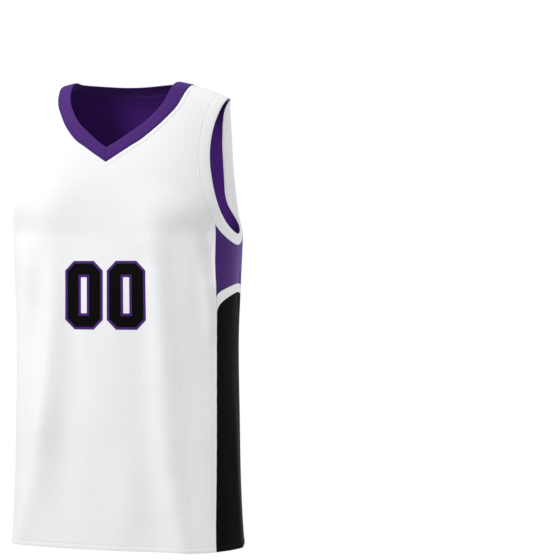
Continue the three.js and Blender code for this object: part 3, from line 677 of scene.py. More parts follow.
def wall(spots, quads, outer, inner):
    """Closed wall of cloth: an outer face, an inner face turned round, and a strip along every
    edge that only one quad uses. outer and inner are distances out of the body's surface."""
    count = len(spots)
    turn, level = spots[:, 0], spots[:, 1]
    points = np.vstack([cloth_point(turn, level, outer), cloth_point(turn, level, inner)])
    edges = np.vstack([quads[:, [0, 1]], quads[:, [1, 2]], quads[:, [2, 3]], quads[:, [3, 0]]])
    free = edges[~np.isin(edges[:, 0] * count + edges[:, 1], edges[:, 1] * count + edges[:, 0])]
    strips = np.column_stack([free[:, 1], free[:, 0], free[:, 0] + count, free[:, 1] + count])
    return points, np.vstack([quads, quads[:, ::-1] + count, strips])


def flat_size(spots, quads):
    """Width, length and area of the flat cut: the reach of the lengths along the cloth, and the
    sum of the quads' areas on the smooth body."""
    reach = np.ptp(woven_place(spots[:, 0], spots[:, 1]), axis=0)
    corners = body_point(spots[:, 0], spots[:, 1])[quads]
    across = np.cross(corners[:, 2] - corners[:, 0], corners[:, 3] - corners[:, 1])
    return reach, float(np.linalg.norm(across, axis=1).sum() / 2)


def mesh_piece(name, points, faces, woven, material, smooth_angle=50):
    """Object at the origin from points, quads and a place in the weave for each point."""
    mesh = bpy.data.meshes.new(name)
    mesh.vertices.add(len(points))
    mesh.vertices.foreach_set("co", points.astype(np.float32).ravel())
    mesh.loops.add(faces.size)
    mesh.loops.foreach_set("vertex_index", faces.astype(np.int32).ravel())
    mesh.polygons.add(len(faces))
    mesh.polygons.foreach_set("loop_start", np.arange(0, faces.size, 4, dtype=np.int32))
    mesh.polygons.foreach_set("loop_total", np.full(len(faces), 4, dtype=np.int32))
    mesh.update(calc_edges=True)
    layer = mesh.uv_layers.new(name=WEAVE)
    layer.data.foreach_set("uv", woven[faces.ravel()].astype(np.float32).ravel())
    mesh.polygons.foreach_set("use_smooth", np.ones(len(faces), bool))
    if smooth_angle:
        mesh.set_sharp_from_angle(angle=math.radians(smooth_angle))
    if mesh.validate():
        raise RuntimeError(f"{name} has faulty faces")
    mesh.materials.append(material)
    piece = bpy.data.objects.new(name, mesh)
    bpy.context.scene.collection.objects.link(piece)
    return piece


def cloth_piece(name, patches, outer, inner, material, nodes=(), hung=None):
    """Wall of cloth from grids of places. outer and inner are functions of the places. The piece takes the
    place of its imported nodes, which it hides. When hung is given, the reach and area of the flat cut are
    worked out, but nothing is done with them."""
    spots, quads = weld(patches)
    points, faces = wall(spots, quads, outer(spots), inner(spots))
    woven = woven_place(spots[:, 0], spots[:, 1])
    piece = mesh_piece(name, points, faces, np.vstack([woven, woven]), material)
    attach(piece, BODY)
    if nodes:
        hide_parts(*nodes)
    if hung is not None:
        reach, area = flat_size(spots, quads)
    return piece


DISTANCE_BLOCK = 2000


def distance_to(points, line):
    """Shortest distance from each point to the places of a finely divided line."""
    nearest = np.full(len(points), np.inf)
    for start in range(0, len(points), DISTANCE_BLOCK):
        block = points[start:start + DISTANCE_BLOCK]
        gap = np.linalg.norm(block[:, None] - line[None], axis=2)
        nearest[start:start + DISTANCE_BLOCK] = gap.min(1)
    return nearest


def bell(distance, centre, width):
    """1 at a distance from a line, falling off as a bell curve to both sides of it."""
    return np.exp(-(((distance - centre) / width) ** 2))


def neck_line(front=True):
    """Both halves of the neck seam, in front or at the back."""
    rows = NECK_SEAM_ROWS if front else BACK_NECK_SEAM_ROWS
    edge = curve_places(rows, np.linspace(0, 1, NECK_LINE_COUNT))
    return np.vstack([leaning(edge, 1), leaning(edge, -1)])


def beside_neck(front, distance):
    """Both halves of a line on a panel at a distance from its neck seam, which in front is carried
    on to the mitre at the V."""
    rows = NECK_SEAM_ROWS if front else BACK_NECK_SEAM_ROWS
    line = moved_edge(curve_places(rows, np.linspace(0, 1, NECK_LINE_COUNT)), distance)
    if front:
        ahead = line[1] - line[0]
        line = np.vstack([line[0] - ahead * line[0, 0] / ahead[0], line])
    return [leaning(line, 1), leaning(line, -1)]


def side_seam_places(front=True):
    """Places up both side seams, in front or at the back."""
    level = np.linspace(HEM_LEVEL, UNDERARM_LEVEL, SEAM_LINE_COUNT)
    seams = [side.front_seam if front else side.back_seam for side in SIDES]
    return np.vstack([side.place(places(seam(level), level)) for side, seam in zip(SIDES, seams)])


def shoulder_places():
    """Places along both shoulder seams."""
    turn = np.linspace(30, 150, NECK_LINE_COUNT)
    return np.vstack([places(turn, TOP_LEVEL), places(-turn, TOP_LEVEL)])


def band_seam_places():
    """Places along the seams of both armhole bands."""
    edge = PANEL_EDGE[::2, :2]
    return np.vstack([edge, mirrored(edge)])


def seam_relief(spots, sizes, lines):
    """Height of the cloth beside its seams: a narrow welt along each line and a dip into it, as
    shares of the full welt and dip, and how many times as wide as usual the dip is."""
    points = body_point(spots[:, 0], spots[:, 1])
    relief = np.zeros(len(spots))
    for line, welt, dip, *widened in lines:
        width = sizes.seam_width * (widened[0] if widened else 1)
        gap = distance_to(points, body_point(line[:, 0], line[:, 1]))
        relief += welt * sizes.welt_height * bell(gap, sizes.welt_place, sizes.welt_width)
        relief -= dip * sizes.seam_depth * bell(gap, 0, width)
    return relief


HEM_STEP, HEM_GROOVE_WIDTH, HEM_EDGE_WIDTH = 1.4 * MM, 0.8 * MM, 0.7 * MM


def hem_relief(level, sizes):
    """Turned-up hem: a second layer up to the line of stitches, a groove there and a rolled
    lower edge."""
    up = level - HEM_LEVEL
    doubled = sizes.hem_layer * (1 - ease(up, (sizes.hem_height, sizes.hem_height + HEM_STEP)))
    groove = sizes.hem_groove * bell(up, sizes.hem_height, HEM_GROOVE_WIDTH)
    return doubled - groove - sizes.hem_layer * bell(up, 0, HEM_EDGE_WIDTH)


# ---- Materials ------------------------------------------------------------------------------

WEAVE = "Weave"


def node_group(name, inputs, outputs):
    """Empty shader group with named sockets. Returns it with its input and output nodes."""
    group = bpy.data.node_groups.new(name, "ShaderNodeTree")
    for socket, kind, default in inputs:
        made = group.interface.new_socket(socket, in_out="INPUT", socket_type=kind)
        if default is not None:
            made.default_value = default
    for socket in outputs:
        group.interface.new_socket(socket, in_out="OUTPUT", socket_type="NodeSocketFloat")
    return group, group.nodes.new("NodeGroupInput"), group.nodes.new("NodeGroupOutput")


def math_node(tree, operation, *values):
    """Math node with its values set or linked. Returns its output."""
    node = tree.nodes.new("ShaderNodeMath")
    node.operation = operation
    for index, value in enumerate(values):
        if isinstance(value, (int, float)):
            node.inputs[index].default_value = value
        else:
            tree.links.new(value, node.inputs[index])
    return node.outputs[0]


def eyelet_group():
    """Eyelets in upright rows: the product of two raised cosines, 1 in the middle of each hole, cut
    off at a level that sets the holes' size."""
    group, given, result = node_group(
        "Eyelets",
        [("Place", "NodeSocketVector", None), ("Across", "NodeSocketFloat", 0.005),
         ("Down", "NodeSocketFloat", 0.005), ("Rim", "NodeSocketFloat", 0.5)],
        ["Hole"])
    split = group.nodes.new("ShaderNodeSeparateXYZ")
    group.links.new(given.outputs["Place"], split.inputs[0])
    waves = []
    for axis, period in (("X", "Across"), ("Y", "Down")):
        turns = math_node(group, "DIVIDE", split.outputs[axis], given.outputs[period])
        wave = math_node(group, "COSINE", math_node(group, "MULTIPLY", turns, 2 * math.pi))
        waves.append(math_node(group, "MULTIPLY_ADD", wave, 0.5, 0.5))
    product = math_node(group, "MULTIPLY", *waves)
    cut = group.nodes.new("ShaderNodeMapRange")
    cut.interpolation_type = "SMOOTHSTEP"
    group.links.new(product, cut.inputs["Value"])
    group.links.new(given.outputs["Rim"], cut.inputs["From Min"])
    group.links.new(cut.outputs[0], result.inputs["Hole"])
    return group


def knit_group():
    """Fine knit: upright ribs of loops, each rib a rounded wave across and the loops along it a
    shallower wave that leans with the rib."""
    group, given, result = node_group(
        "Knit",
        [("Place", "NodeSocketVector", None), ("Rib", "NodeSocketFloat", 0.0009),
         ("Loop", "NodeSocketFloat", 0.0007)],
        ["Height"])
    split = group.nodes.new("ShaderNodeSeparateXYZ")
    group.links.new(given.outputs["Place"], split.inputs[0])

    def wave(turns):
        """Rounded wave with one crest for each whole turn: the size of a sine."""
        sine = math_node(group, "SINE", math_node(group, "MULTIPLY", turns, math.pi))
        return math_node(group, "ABSOLUTE", sine)

    rib = wave(math_node(group, "DIVIDE", split.outputs["X"], given.outputs["Rib"]))
    loops = math_node(group, "DIVIDE", split.outputs["Y"], given.outputs["Loop"])
    loop = wave(math_node(group, "ADD", loops, math_node(group, "MULTIPLY", rib, 0.35)))
    total = math_node(group, "ADD", math_node(group, "MULTIPLY", rib, 0.65),
                      math_node(group, "MULTIPLY", loop, 0.35))
    group.links.new(total, result.inputs["Height"])
    return group


def wear_group():
    """Faint cloudy change of tone over the cloth: two noises, one broad and one of yarn size."""
    group, given, result = node_group(
        "Cloth tone",
        [("Place", "NodeSocketVector", None), ("Broad", "NodeSocketFloat", 18.0),
         ("Fine", "NodeSocketFloat", 900.0)],
        ["Tone"])
    tones = []
    for scale, detail, weight in (("Broad", 3, 0.6), ("Fine", 1, 0.4)):
        noise = group.nodes.new("ShaderNodeTexNoise")
        noise.inputs["Detail"].default_value = detail
        group.links.new(given.outputs["Place"], noise.inputs["Vector"])
        group.links.new(given.outputs[scale], noise.inputs["Scale"])
        tones.append(math_node(group, "MULTIPLY", noise.outputs["Fac"], weight))
    group.links.new(math_node(group, "ADD", *tones), result.inputs["Tone"])
    return group


def shared_group(name):
    """One of the shared groups, made on first use."""
    makers = {"Eyelets": eyelet_group, "Knit": knit_group, "Cloth tone": wear_group}
    return bpy.data.node_groups.get(name) or makers[name]()


def placed_group(tree, name, place, **values):
    """A shared group in a material, fed with the place in the weave."""
    node = tree.nodes.new("ShaderNodeGroup")
    node.node_tree = shared_group(name)
    tree.links.new(place, node.inputs["Place"])
    for socket, value in values.items():
        node.inputs[socket].default_value = value
    return node.outputs[0]


def mixed(tree, share, first, second):
    """Colour between two, by a share that changes over the surface."""
    node = tree.nodes.new("ShaderNodeMix")
    node.data_type = "RGBA"
    tree.links.new(share, node.inputs[0])
    for index, value in ((6, first), (7, second)):
        if isinstance(value, (tuple, list)):
            node.inputs[index].default_value = (*value[:3], 1)
        else:
            tree.links.new(value, node.inputs[index])
    return node.outputs[2]


KNIT_IN_BUMP, KNIT_IN_ROUGHNESS, SHEEN_ROUGHNESS = 0.3, 0.12, 0.45


def cloth_material(name, colour, hole_colour, across, down, rim, rib, loop, depth,
                   roughness=0.72, sheen=0.1, tone=0.03, specular=0.15, sheen_tint=(1, 1, 1)):
    """Knit cloth: base colour with a faint change of tone, darker in its eyelets, raised ribs and
    sunk eyelets by bump, and a soft sheen."""
    material = bpy.data.materials.get(name)
    if material:
        return material
    material = bpy.data.materials.new(name)
    material.use_nodes = True
    tree = material.node_tree
    shader = tree.nodes["Principled BSDF"]
    uv = tree.nodes.new("ShaderNodeUVMap")
    uv.uv_map = WEAVE
    place = uv.outputs["UV"]
    shade = placed_group(tree, "Cloth tone", place)
    knit = placed_group(tree, "Knit", place, Rib=rib, Loop=loop)
    darker = tuple(c * (1 - 2 * tone) for c in colour)
    base = mixed(tree, shade, colour, darker)
    height = math_node(tree, "MULTIPLY", knit, KNIT_IN_BUMP)
    if rim is not None:
        hole = placed_group(tree, "Eyelets", place, Across=across, Down=down, Rim=rim)
        base = mixed(tree, hole, base, hole_colour)
        height = math_node(tree, "SUBTRACT", height, hole)
    bump = tree.nodes.new("ShaderNodeBump")
    bump.inputs["Distance"].default_value = depth
    tree.links.new(height, bump.inputs["Height"])
    tree.links.new(bump.outputs[0], shader.inputs["Normal"])
    tree.links.new(base, shader.inputs["Base Color"])
    smoother = math_node(tree, "MULTIPLY", knit, -KNIT_IN_ROUGHNESS)
    rough = math_node(tree, "ADD", smoother, roughness + KNIT_IN_ROUGHNESS / 2)
    tree.links.new(rough, shader.inputs["Roughness"])
    shader.inputs["Specular IOR Level"].default_value = specular
    shader.inputs["Sheen Weight"].default_value = sheen
    shader.inputs["Sheen Roughness"].default_value = SHEEN_ROUGHNESS
    shader.inputs["Sheen Tint"].default_value = (*sheen_tint, 1)
    return material


def eyelet_cloth(name, colour, sizes, hole_share, rim=0.3, **looks):
    """Mesh of one colour, a share as bright in its eyelets."""
    hole = tuple(c * hole_share for c in colour)
    return cloth_material(name, tuple(colour), hole, sizes.eyelet_across, sizes.eyelet_down, rim,
                          0.9 * MM, 0.8 * MM, 0.16 * MM, **looks)


def white_mesh(colours, sizes):
    """White eyelet mesh of the front and back."""
    return eyelet_cloth("White eyelet mesh", colours.white, sizes, 0.92, sheen=0.15)


def inner_mesh(colours, sizes):
    """Deep purple mesh of the inner layer."""
    return eyelet_cloth("Inner purple mesh", colours.inner, sizes, 0.6, sheen=0.03, specular=0.08)


def insert_mesh(colours, sizes):
    """Purple mesh of the side inserts, brighter where it turns away."""
    return eyelet_cloth("Insert purple mesh", colours.insert, sizes, 0.8, sheen=0.75,
                        sheen_tint=(0.6, 0.42, 1))


def black_mesh(colours, sizes):
    """Black knit of the side panels."""
    return eyelet_cloth("Black mesh", colours.black, sizes, 0.6, roughness=0.5, sheen=0.0,
                        specular=0.04)


def plain_knit(name, colour, **looks):
    """Close knit without eyelets, for bands, stripes, numerals and thread."""
    return cloth_material(name, tuple(colour), None, 1, 1, None, 1.1 * MM, 0.9 * MM, 0.12 * MM, **looks)


# ---- Sewing ---------------------------------------------------------------------------------

STITCH_SHARES = np.array([-1, -0.6, 0, 0.6, 1])
STITCH_RADII = np.array([0.4, 0.9, 1, 0.9, 0.4])
STITCH_CORNERS = np.radians([45, 135, 225, 315])


def stitches(line, sizes, out):
    """Row of stitches along places of the cloth: each is a short thread, four-sided and thinner
    at its ends, laid along the line at even distances."""
    points = cloth_point(line[:, 0], line[:, 1], np.full(len(line), out))
    normals = outward(line[:, 0], line[:, 1])
    length = np.concatenate([[0], np.cumsum(np.linalg.norm(np.diff(points, axis=0), axis=1))])
    pitch = sizes.stitch_length + sizes.stitch_gap
    count = int(length[-1] // pitch)
    if not count:
        return np.zeros((0, 3)), np.zeros((0, 4), int), np.zeros((0, 2))
    middle = (np.arange(count) + 0.5) * length[-1] / count
    read = lambda values, at: np.stack([np.interp(at, length, values[:, k]) for k in range(3)], -1)
    centre = read(points, middle)
    along = read(points, middle + 0.5 * MM) - read(points, middle - 0.5 * MM)
    along /= np.linalg.norm(along, axis=1, keepdims=True)
    normal = read(normals, middle)
    across = np.cross(normal, along)
    across /= np.linalg.norm(across, axis=1, keepdims=True)
    normal = np.cross(along, across)
    radius = STITCH_RADII[:, None] * sizes.thread / 2
    lengthwise = (STITCH_SHARES * sizes.stitch_length / 2)[None, :, None, None] * along[:, None, None]
    sideways = (radius * np.cos(STITCH_CORNERS))[None, ..., None] * across[:, None, None]
    raised = (radius * np.sin(STITCH_CORNERS))[None, ..., None] * normal[:, None, None]
    rings = centre[:, None, None] + lengthwise + sideways + raised
    size = rings.shape[1] * 4
    number = np.arange(size).reshape(-1, 4)
    following = np.roll(number, -1, axis=1)
    sides = np.stack([number[:-1], following[:-1], following[1:], number[1:]], -1).reshape(-1, 4)
    one = np.vstack([sides, number[0][::-1], number[-1]])
    faces = (one[None] + (np.arange(count) * size)[:, None, None]).reshape(-1, 4)
    spots = np.stack([np.interp(middle, length, line[:, 0]), np.interp(middle, length, line[:, 1])], -1)
    woven = np.repeat(woven_place(spots[:, 0], spots[:, 1]), size, axis=0)
    return rings.reshape(-1, 3), faces, woven


def sewing_piece(name, rows, material):
    """One object from several rows of stitches."""
    points, faces, woven, start = [], [], [], 0
    for row_points, row_faces, row_woven in rows:
        points.append(row_points)
        faces.append(row_faces + start)
        woven.append(row_woven)
        start += len(row_points)
    piece = mesh_piece(name, np.vstack(points), np.vstack(faces), np.vstack(woven), material, None)
    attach(piece, BODY)
    return piece


# ---- Sizes and colours a user may change ------------------------------------------------------

def length_property(name, description, default, low=0.0, high=1.0):
    """A length in metres."""
    return FloatProperty(name=name, description=description, default=default, min=low, max=high,
                         precision=5, unit="LENGTH", subtype="DISTANCE")


def colour_property(name, description, default):
    """A linear colour."""
    return FloatVectorProperty(name=name, description=description, default=default, size=3,
                               min=0, max=1, subtype="COLOR")


class ClothSizes(bpy.types.PropertyGroup):
    """Sizes of the cloth, its hem and its seams"""
    hem_height: length_property("Hem height", "From the lower edge to the hem's stitches", 8 * MM)
    hem_layer: length_property("Hem layer", "How far the turned hem stands out", 0.6 * MM)
    hem_groove: length_property("Hem groove", "How deep the hem's stitches lie", 0.8 * MM)
    topstitch: length_property("Topstitch", "From the neck seam to the stitches beside it", 6.5 * MM)
    seam_depth: length_property("Seam depth", "How far the cloth dips into a seam", 0.4 * MM)
    seam_width: length_property("Seam width", "How wide that dip is", 0.9 * MM)
    welt_height: length_property("Welt height", "Height of the ridge beside a seam", 0.8 * MM)
    welt_place: length_property("Welt place", "From the seam to the ridge beside it", 1.5 * MM)
    welt_width: length_property("Welt width", "Half-width of the ridge beside a seam", 1.1 * MM)
    eyelet_across: length_property("Eyelet pitch across", "Between columns of eyelets", 5.4 * MM)
    eyelet_down: length_property("Eyelet pitch down", "Between eyelets down a column", 3.4 * MM)


class TrimSizes(bpy.types.PropertyGroup):
    """Sizes of the bands and of the sewing"""
    band_fullness: length_property("Neckband fullness", "How far the neckband stands out", 0.6 * MM)
    armhole_fullness: length_property("Armhole fullness", "How far those bands stand out", 0.3 * MM)
    edge_roll: length_property("Edge roll", "How far a band's free edge turns in", 0.5 * MM)
    stitch_length: length_property("Stitch length", "Length of one stitch", 2.6 * MM)
    stitch_gap: length_property("Stitch gap", "Between two stitches", 0.8 * MM)
    thread: length_property("Thread", "Thickness of the sewing thread", 0.45 * MM)


class NumberSizes(bpy.types.PropertyGroup):
    """Sizes of the block numerals on the front"""
    width: length_property("Width", "Width of one numeral", 65.5 * MM)
    height: length_property("Height", "Height of one numeral", 110 * MM)
    corner: length_property("Corner", "How far a corner is cut off", 15.5 * MM)
    outline: length_property("Outline", "Width of the purple outline", 4.2 * MM)
    counter_width: length_property("Opening width", "Width of the white opening", 10.5 * MM)
    counter_height: length_property("Opening height", "Height of the white opening", 58 * MM)
    gap: length_property("Gap", "Between the two numerals", 7 * MM)
    top: length_property("Top", "How far the top lies below the shoulder line", 289 * MM)
    aside: FloatProperty(name="Aside", description="Middle of the pair, towards the wearer's left",
                         default=-3 * MM, unit="LENGTH", subtype="DISTANCE", precision=5)
    layer: length_property("Layer", "Thickness of each layer of the numerals", 0.28 * MM)


class ClothColours(bpy.types.PropertyGroup):
    """Colours of the cloth, linear"""
    white: colour_property("White", "Front, back, bands and stripes", (0.87, 0.87, 0.885))
    insert: colour_property("Insert", "Purple side inserts", (0.052, 0.012, 0.14))
    band: colour_property("Neckband", "Purple neckband", (0.06, 0.015, 0.158))
    inner: colour_property("Inner layer", "Deep purple inner layer", (0.072, 0.015, 0.2))
    outline: colour_property("Outline", "Purple outline of the numerals", (0.06, 0.015, 0.16))
    black: colour_property("Black", "Side panels and numerals", (0.0028, 0.0028, 0.0032))


class StageSettings(bpy.types.PropertyGroup):
    """Camera, floor and light"""
    azimuth: FloatProperty(name="Azimuth", description="Camera's turn round the jersey",
                           default=math.radians(21), unit="ROTATION", subtype="ANGLE")
    pan: FloatProperty(name="Pan", description="How far the camera looks aside from the middle",
                       default=math.radians(5.2), unit="ROTATION", subtype="ANGLE")
    distance: length_property("Distance", "From the camera to the jersey's axis", 2.784, 0, 20)
    eye_level: FloatProperty(name="Eye level", description="Height of the camera",
                             default=-0.3196, unit="LENGTH", subtype="DISTANCE")
    lens: FloatProperty(name="Lens", description="Focal length in millimetres", default=107.8,
                        min=10, max=300)
    floor_level: FloatProperty(name="Floor level", description="Height of the floor",
                               default=-1.15, unit="LENGTH", subtype="DISTANCE")
    key_power: FloatProperty(name="Key light", description="Power of the main light in watts",
                             default=50, min=0, subtype="POWER", unit="POWER")
    fill_power: FloatProperty(name="Fill light", description="Power of the light behind the other side",
                              default=8, min=0, subtype="POWER", unit="POWER")
    sky: FloatProperty(name="Surrounding light", description="Strength of the light from all round",
                       default=0.545, min=0, max=5)


class JerseySettings(bpy.types.PropertyGroup):
    """All sizes and colours of the jersey"""
    cloth: PointerProperty(type=ClothSizes, name="Cloth")
    trim: PointerProperty(type=TrimSizes, name="Trim")
    numerals: PointerProperty(type=NumberSizes, name="Numerals")
    colours: PointerProperty(type=ClothColours, name="Colours")
    stage: PointerProperty(type=StageSettings, name="Stage")


# ---- Pieces ---------------------------------------------------------------------------------

class JERSEY_OT_panels(bpy.types.Operator):
    """Builds the outer cloth of the front and the back"""
    bl_idname = "jersey.panels"
    bl_label = "Front and back"

    def execute(self, context):
        """Walls on the panels' grids, raised and sunk by their seams and hem."""
        settings = context.scene.jersey
        sizes = settings.cloth
        material = white_mesh(settings.colours, sizes)
        for name, patches, front in (("front_cloth", front_patches(), True),
                                     ("back_cloth", back_patches(), False)):
            halfway = np.vstack(beside_neck(front, sizes.topstitch / 2))
            topstitch = np.vstack(beside_neck(front, sizes.topstitch))
            lines = [(neck_line(front), 0, 1), (halfway, 0, -1, 2.6), (topstitch, 0, 0.9, 1.3),
                     (side_seam_places(front), 1 if front else 0.3, 1),
                     (band_seam_places(), 0, 0.15), (shoulder_places(), 0, 0.5)]
            outer = lambda spots: (hem_relief(spots[:, 1], sizes) + seam_relief(spots, sizes, lines)
                                   - CLOTH_WALL[0])
            inner = lambda spots: np.full(len(spots), -CLOTH_WALL[1])
            cloth_piece(name, patches, outer, inner, material,
                        ["front_panel" if front else "back_panel"], hung=[])
        return {"FINISHED"}


class JERSEY_OT_inner_layer(bpy.types.Operator):
    """Builds the purple inner layer of the reversible cloth"""
    bl_idname = "jersey.inner_layer"
    bl_label = "Inner layer"

    def execute(self, context):
        """Walls on the same grids as the outer cloth, a little inside it."""
        settings = context.scene.jersey
        material = inner_mesh(settings.colours, settings.cloth)
        outer = lambda spots: np.full(len(spots), -LINING_WALL[0])
        inner = lambda spots: np.full(len(spots), -LINING_WALL[1])
        pieces = [("inner_front", front_patches(), "lining_front"),
                  ("inner_back", back_patches(), "lining_back")]
        for side in SIDES:
            rows = np.vstack([black_rows(side), arc_rows(side), insert_rows(side)])
            pieces.append((f"inner_side_{side.word}", [side.grid(rows)], f"lining_side_{side.word}"))
        for name, patches, node in pieces:
            cloth_piece(name, patches, outer, inner, material, [node], hung=[])
        return {"FINISHED"}


def banded(rows, across):
    """Rows of a band with the share across it as a third number of each place."""
    share = np.broadcast_to(across[:, None, None], (*rows.shape[:2], 1))
    return np.concatenate([rows, share], axis=2)


BAND_DIP_WIDTH, BAND_SEAM_WIDTH, BAND_EDGE_WIDTH = 1.6 * MM, 0.7 * MM, 1.1 * MM


def band_outer(sizes, width, fullness):
    """Outer offset of a folded band: full in the middle, dipping at its seam and rolled in at
    its free edge."""
    def offset(spots):
        """Offset at places with their share across the band."""
        seam, edge = spots[:, 2] * width, (1 - spots[:, 2]) * width
        return (fullness * (1 - bell(seam, 0, BAND_DIP_WIDTH))
                - 0.4 * fullness * bell(seam, 0, BAND_SEAM_WIDTH)
                - sizes.edge_roll * bell(edge, 0, BAND_EDGE_WIDTH))
    return offset


def band_inner(spots):
    """Inner offset of a folded band: thick over its seam and rounded towards its free edge."""
    seam, edge = spots[:, 2] * BAND_WIDTH, (1 - spots[:, 2]) * BAND_WIDTH
    return (-BAND_WALL[1] - SEAM_ALLOWANCE * bell(seam, 0, 1.5 * MM)
            + 0.3 * MM * bell(edge, 0, BAND_EDGE_WIDTH))


class JERSEY_OT_neckband(bpy.types.Operator):
    """Builds the folded neckband with its mitre at the V"""
    bl_idname = "jersey.neckband"
    bl_label = "Neckband"

    def execute(self, context):
        """Two strips, which meet at the back middle and stay apart at the mitre."""
        settings = context.scene.jersey
        material = plain_knit("Neckband knit", settings.colours.band, sheen=0.12,
                              sheen_tint=(0.6, 0.42, 1))
        strips, across = neck_rows()
        rolled = band_outer(settings.trim, NECKBAND_WIDTH, settings.trim.band_fullness)

        def outer(spots):
            """The band's offset with a dip at the mitre in front."""
            middle = np.abs(body_point(spots[:, 0], spots[:, 1])[:, 0])
            in_front = np.cos(np.radians(spots[:, 0])) > 0
            return rolled(spots) - in_front * settings.cloth.seam_depth * bell(middle, 0, 1.2 * MM)

        cloth_piece("neckband_cloth", [banded(strip, across) for strip in strips], outer,
                    band_inner, material, ["neckband"], hung=["front_cloth"])
        return {"FINISHED"}


class JERSEY_OT_armhole_bands(bpy.types.Operator):
    """Builds the folded bands round both armholes"""
    bl_idname = "jersey.armhole_bands"
    bl_label = "Armhole bands"

    def execute(self, context):
        """A closed strip on each side."""
        settings = context.scene.jersey
        material = plain_knit("White band knit", settings.colours.white)
        rows, across = armhole_rows()
        outer = band_outer(settings.trim, BAND_WIDTH, settings.trim.armhole_fullness)
        for side in SIDES:
            word = side.word
            cloth_piece(f"armhole_cloth_{word}", [side.grid(banded(rows, across))],
                        outer, band_inner, material,
                        [f"armhole_band_{word}"], hung=["front_cloth"])
        return {"FINISHED"}


class JERSEY_OT_side_pieces(bpy.types.Operator):
    """Builds the insert, the curved stripe and the black panel of each side"""
    bl_idname = "jersey.side_pieces"
    bl_label = "Side pieces"

    def execute(self, context):
        """Walls on the side grids, dipping at their seams."""
        settings = context.scene.jersey
        sizes, colours = settings.cloth, settings.colours
        level = np.linspace(HEM_LEVEL, UNDERARM_LEVEL, SEAM_LINE_COUNT)
        for side in SIDES:
            seams = np.vstack([places(side.front_seam(level), level),
                               places(side.back_seam(level), level)])
            band = PANEL_EDGE[::2, :2]
            arc = places(side_turn(side, COLUMN_SHARES, ARC_LEVELS), ARC_LEVELS)
            crown = places(side_turn(side, COLUMN_SHARES, BLACK_LEVELS), BLACK_LEVELS)
            kinds = (
                ("side_insert", insert_rows(side), insert_mesh(colours, sizes), "purple_mesh",
                 [(seams, 0, 1), (band, 0, 1), (arc, 0, 1)], 0.0, None),
                ("side_arc", arc_rows(side), plain_knit("White band knit", colours.white),
                 "white_band", [(arc, 0, 1), (crown, 0, 1)], 0.35 * MM, ARC_STRIP),
                ("side_panel", black_rows(side), black_mesh(colours, sizes), "black_mesh",
                 [(seams, 0.4, 1), (crown, 0, 1)], 0.0, None),
            )
            for kind, rows, material, slot, lines, lift, strip in kinds:
                lines = [(side.place(line), *shares) for line, *shares in lines]
                outer = lambda at, lines=lines, lift=lift: (
                    hem_relief(at[:, 1], sizes) + seam_relief(at, sizes, lines) + lift)
                inner = lambda at: np.full(len(at), -CLOTH_WALL[1])
                cloth_piece(f"{kind}_cloth_{side.word}", [side.grid(rows)], outer, inner, material,
                            [f"{kind}_{side.word}"], hung=[f"armhole_cloth_{side.word}"])
        return {"FINISHED"}


# Corners of a numeral's outline as signs of half its width and half its height, and which of
# the two the cut-off corner shortens: across (1, 0) or upright (0, 1)
OUTLINE_CORNERS = np.array([
    (-1, 1, 1, 0), (1, 1, 1, 0), (1, 1, 0, 1), (1, -1, 0, 1),
    (1, -1, 1, 0), (-1, -1, 1, 0), (-1, -1, 0, 1), (-1, 1, 0, 1),
])
OUTLINE_STEPS = 26
COUNTER_CORNER = 1 * MM
OFF_THE_CLOTH = 0.02 * MM


def outline(width, height, corner):
    """Closed eight-sided outline of a block numeral: straight sides between cut-off corners,
    each side divided alike."""
    signs, cut = OUTLINE_CORNERS[:, :2], OUTLINE_CORNERS[:, 2:]
    corners = signs * (np.array([width, height]) / 2 - cut * corner)
    following = np.roll(corners, -1, axis=0)
    share = np.arange(OUTLINE_STEPS)[None, :, None] / OUTLINE_STEPS
    line = (corners[:, None] + (following - corners)[:, None] * share).reshape(-1, 2)
    return np.vstack([line, line[:1]])


def place_on_front(flat):
    """Places for points given across the front and above the level of the origin: the turn at
    which the squared ring of that level is as far across."""
    turns = np.linspace(-60, 60, 961)
    reach = squared(turns, BODY_SQUARENESS)[0]
    half_width = smooth_table(BODY_ROWS[:, 0], BODY_ROWS[:, 1], flat[..., 1])
    return places(np.interp(flat[..., 0] / half_width, reach, turns), flat[..., 1])


def numeral_ring(sizes, centre, outer_inset, counter_width, counter_height, columns=8):
    """Ring between a numeral's outline, moved in by an inset, and the edge of its opening."""
    bevel = sizes.corner - outer_inset * (2 - math.sqrt(2))
    outer = outline(sizes.width - 2 * outer_inset, sizes.height - 2 * outer_inset, bevel)
    inner = outline(counter_width, counter_height, COUNTER_CORNER)
    share = close_ends(columns)[:, None, None]
    ring = outer[None] + (inner - outer)[None] * share
    return place_on_front(ring + centre)


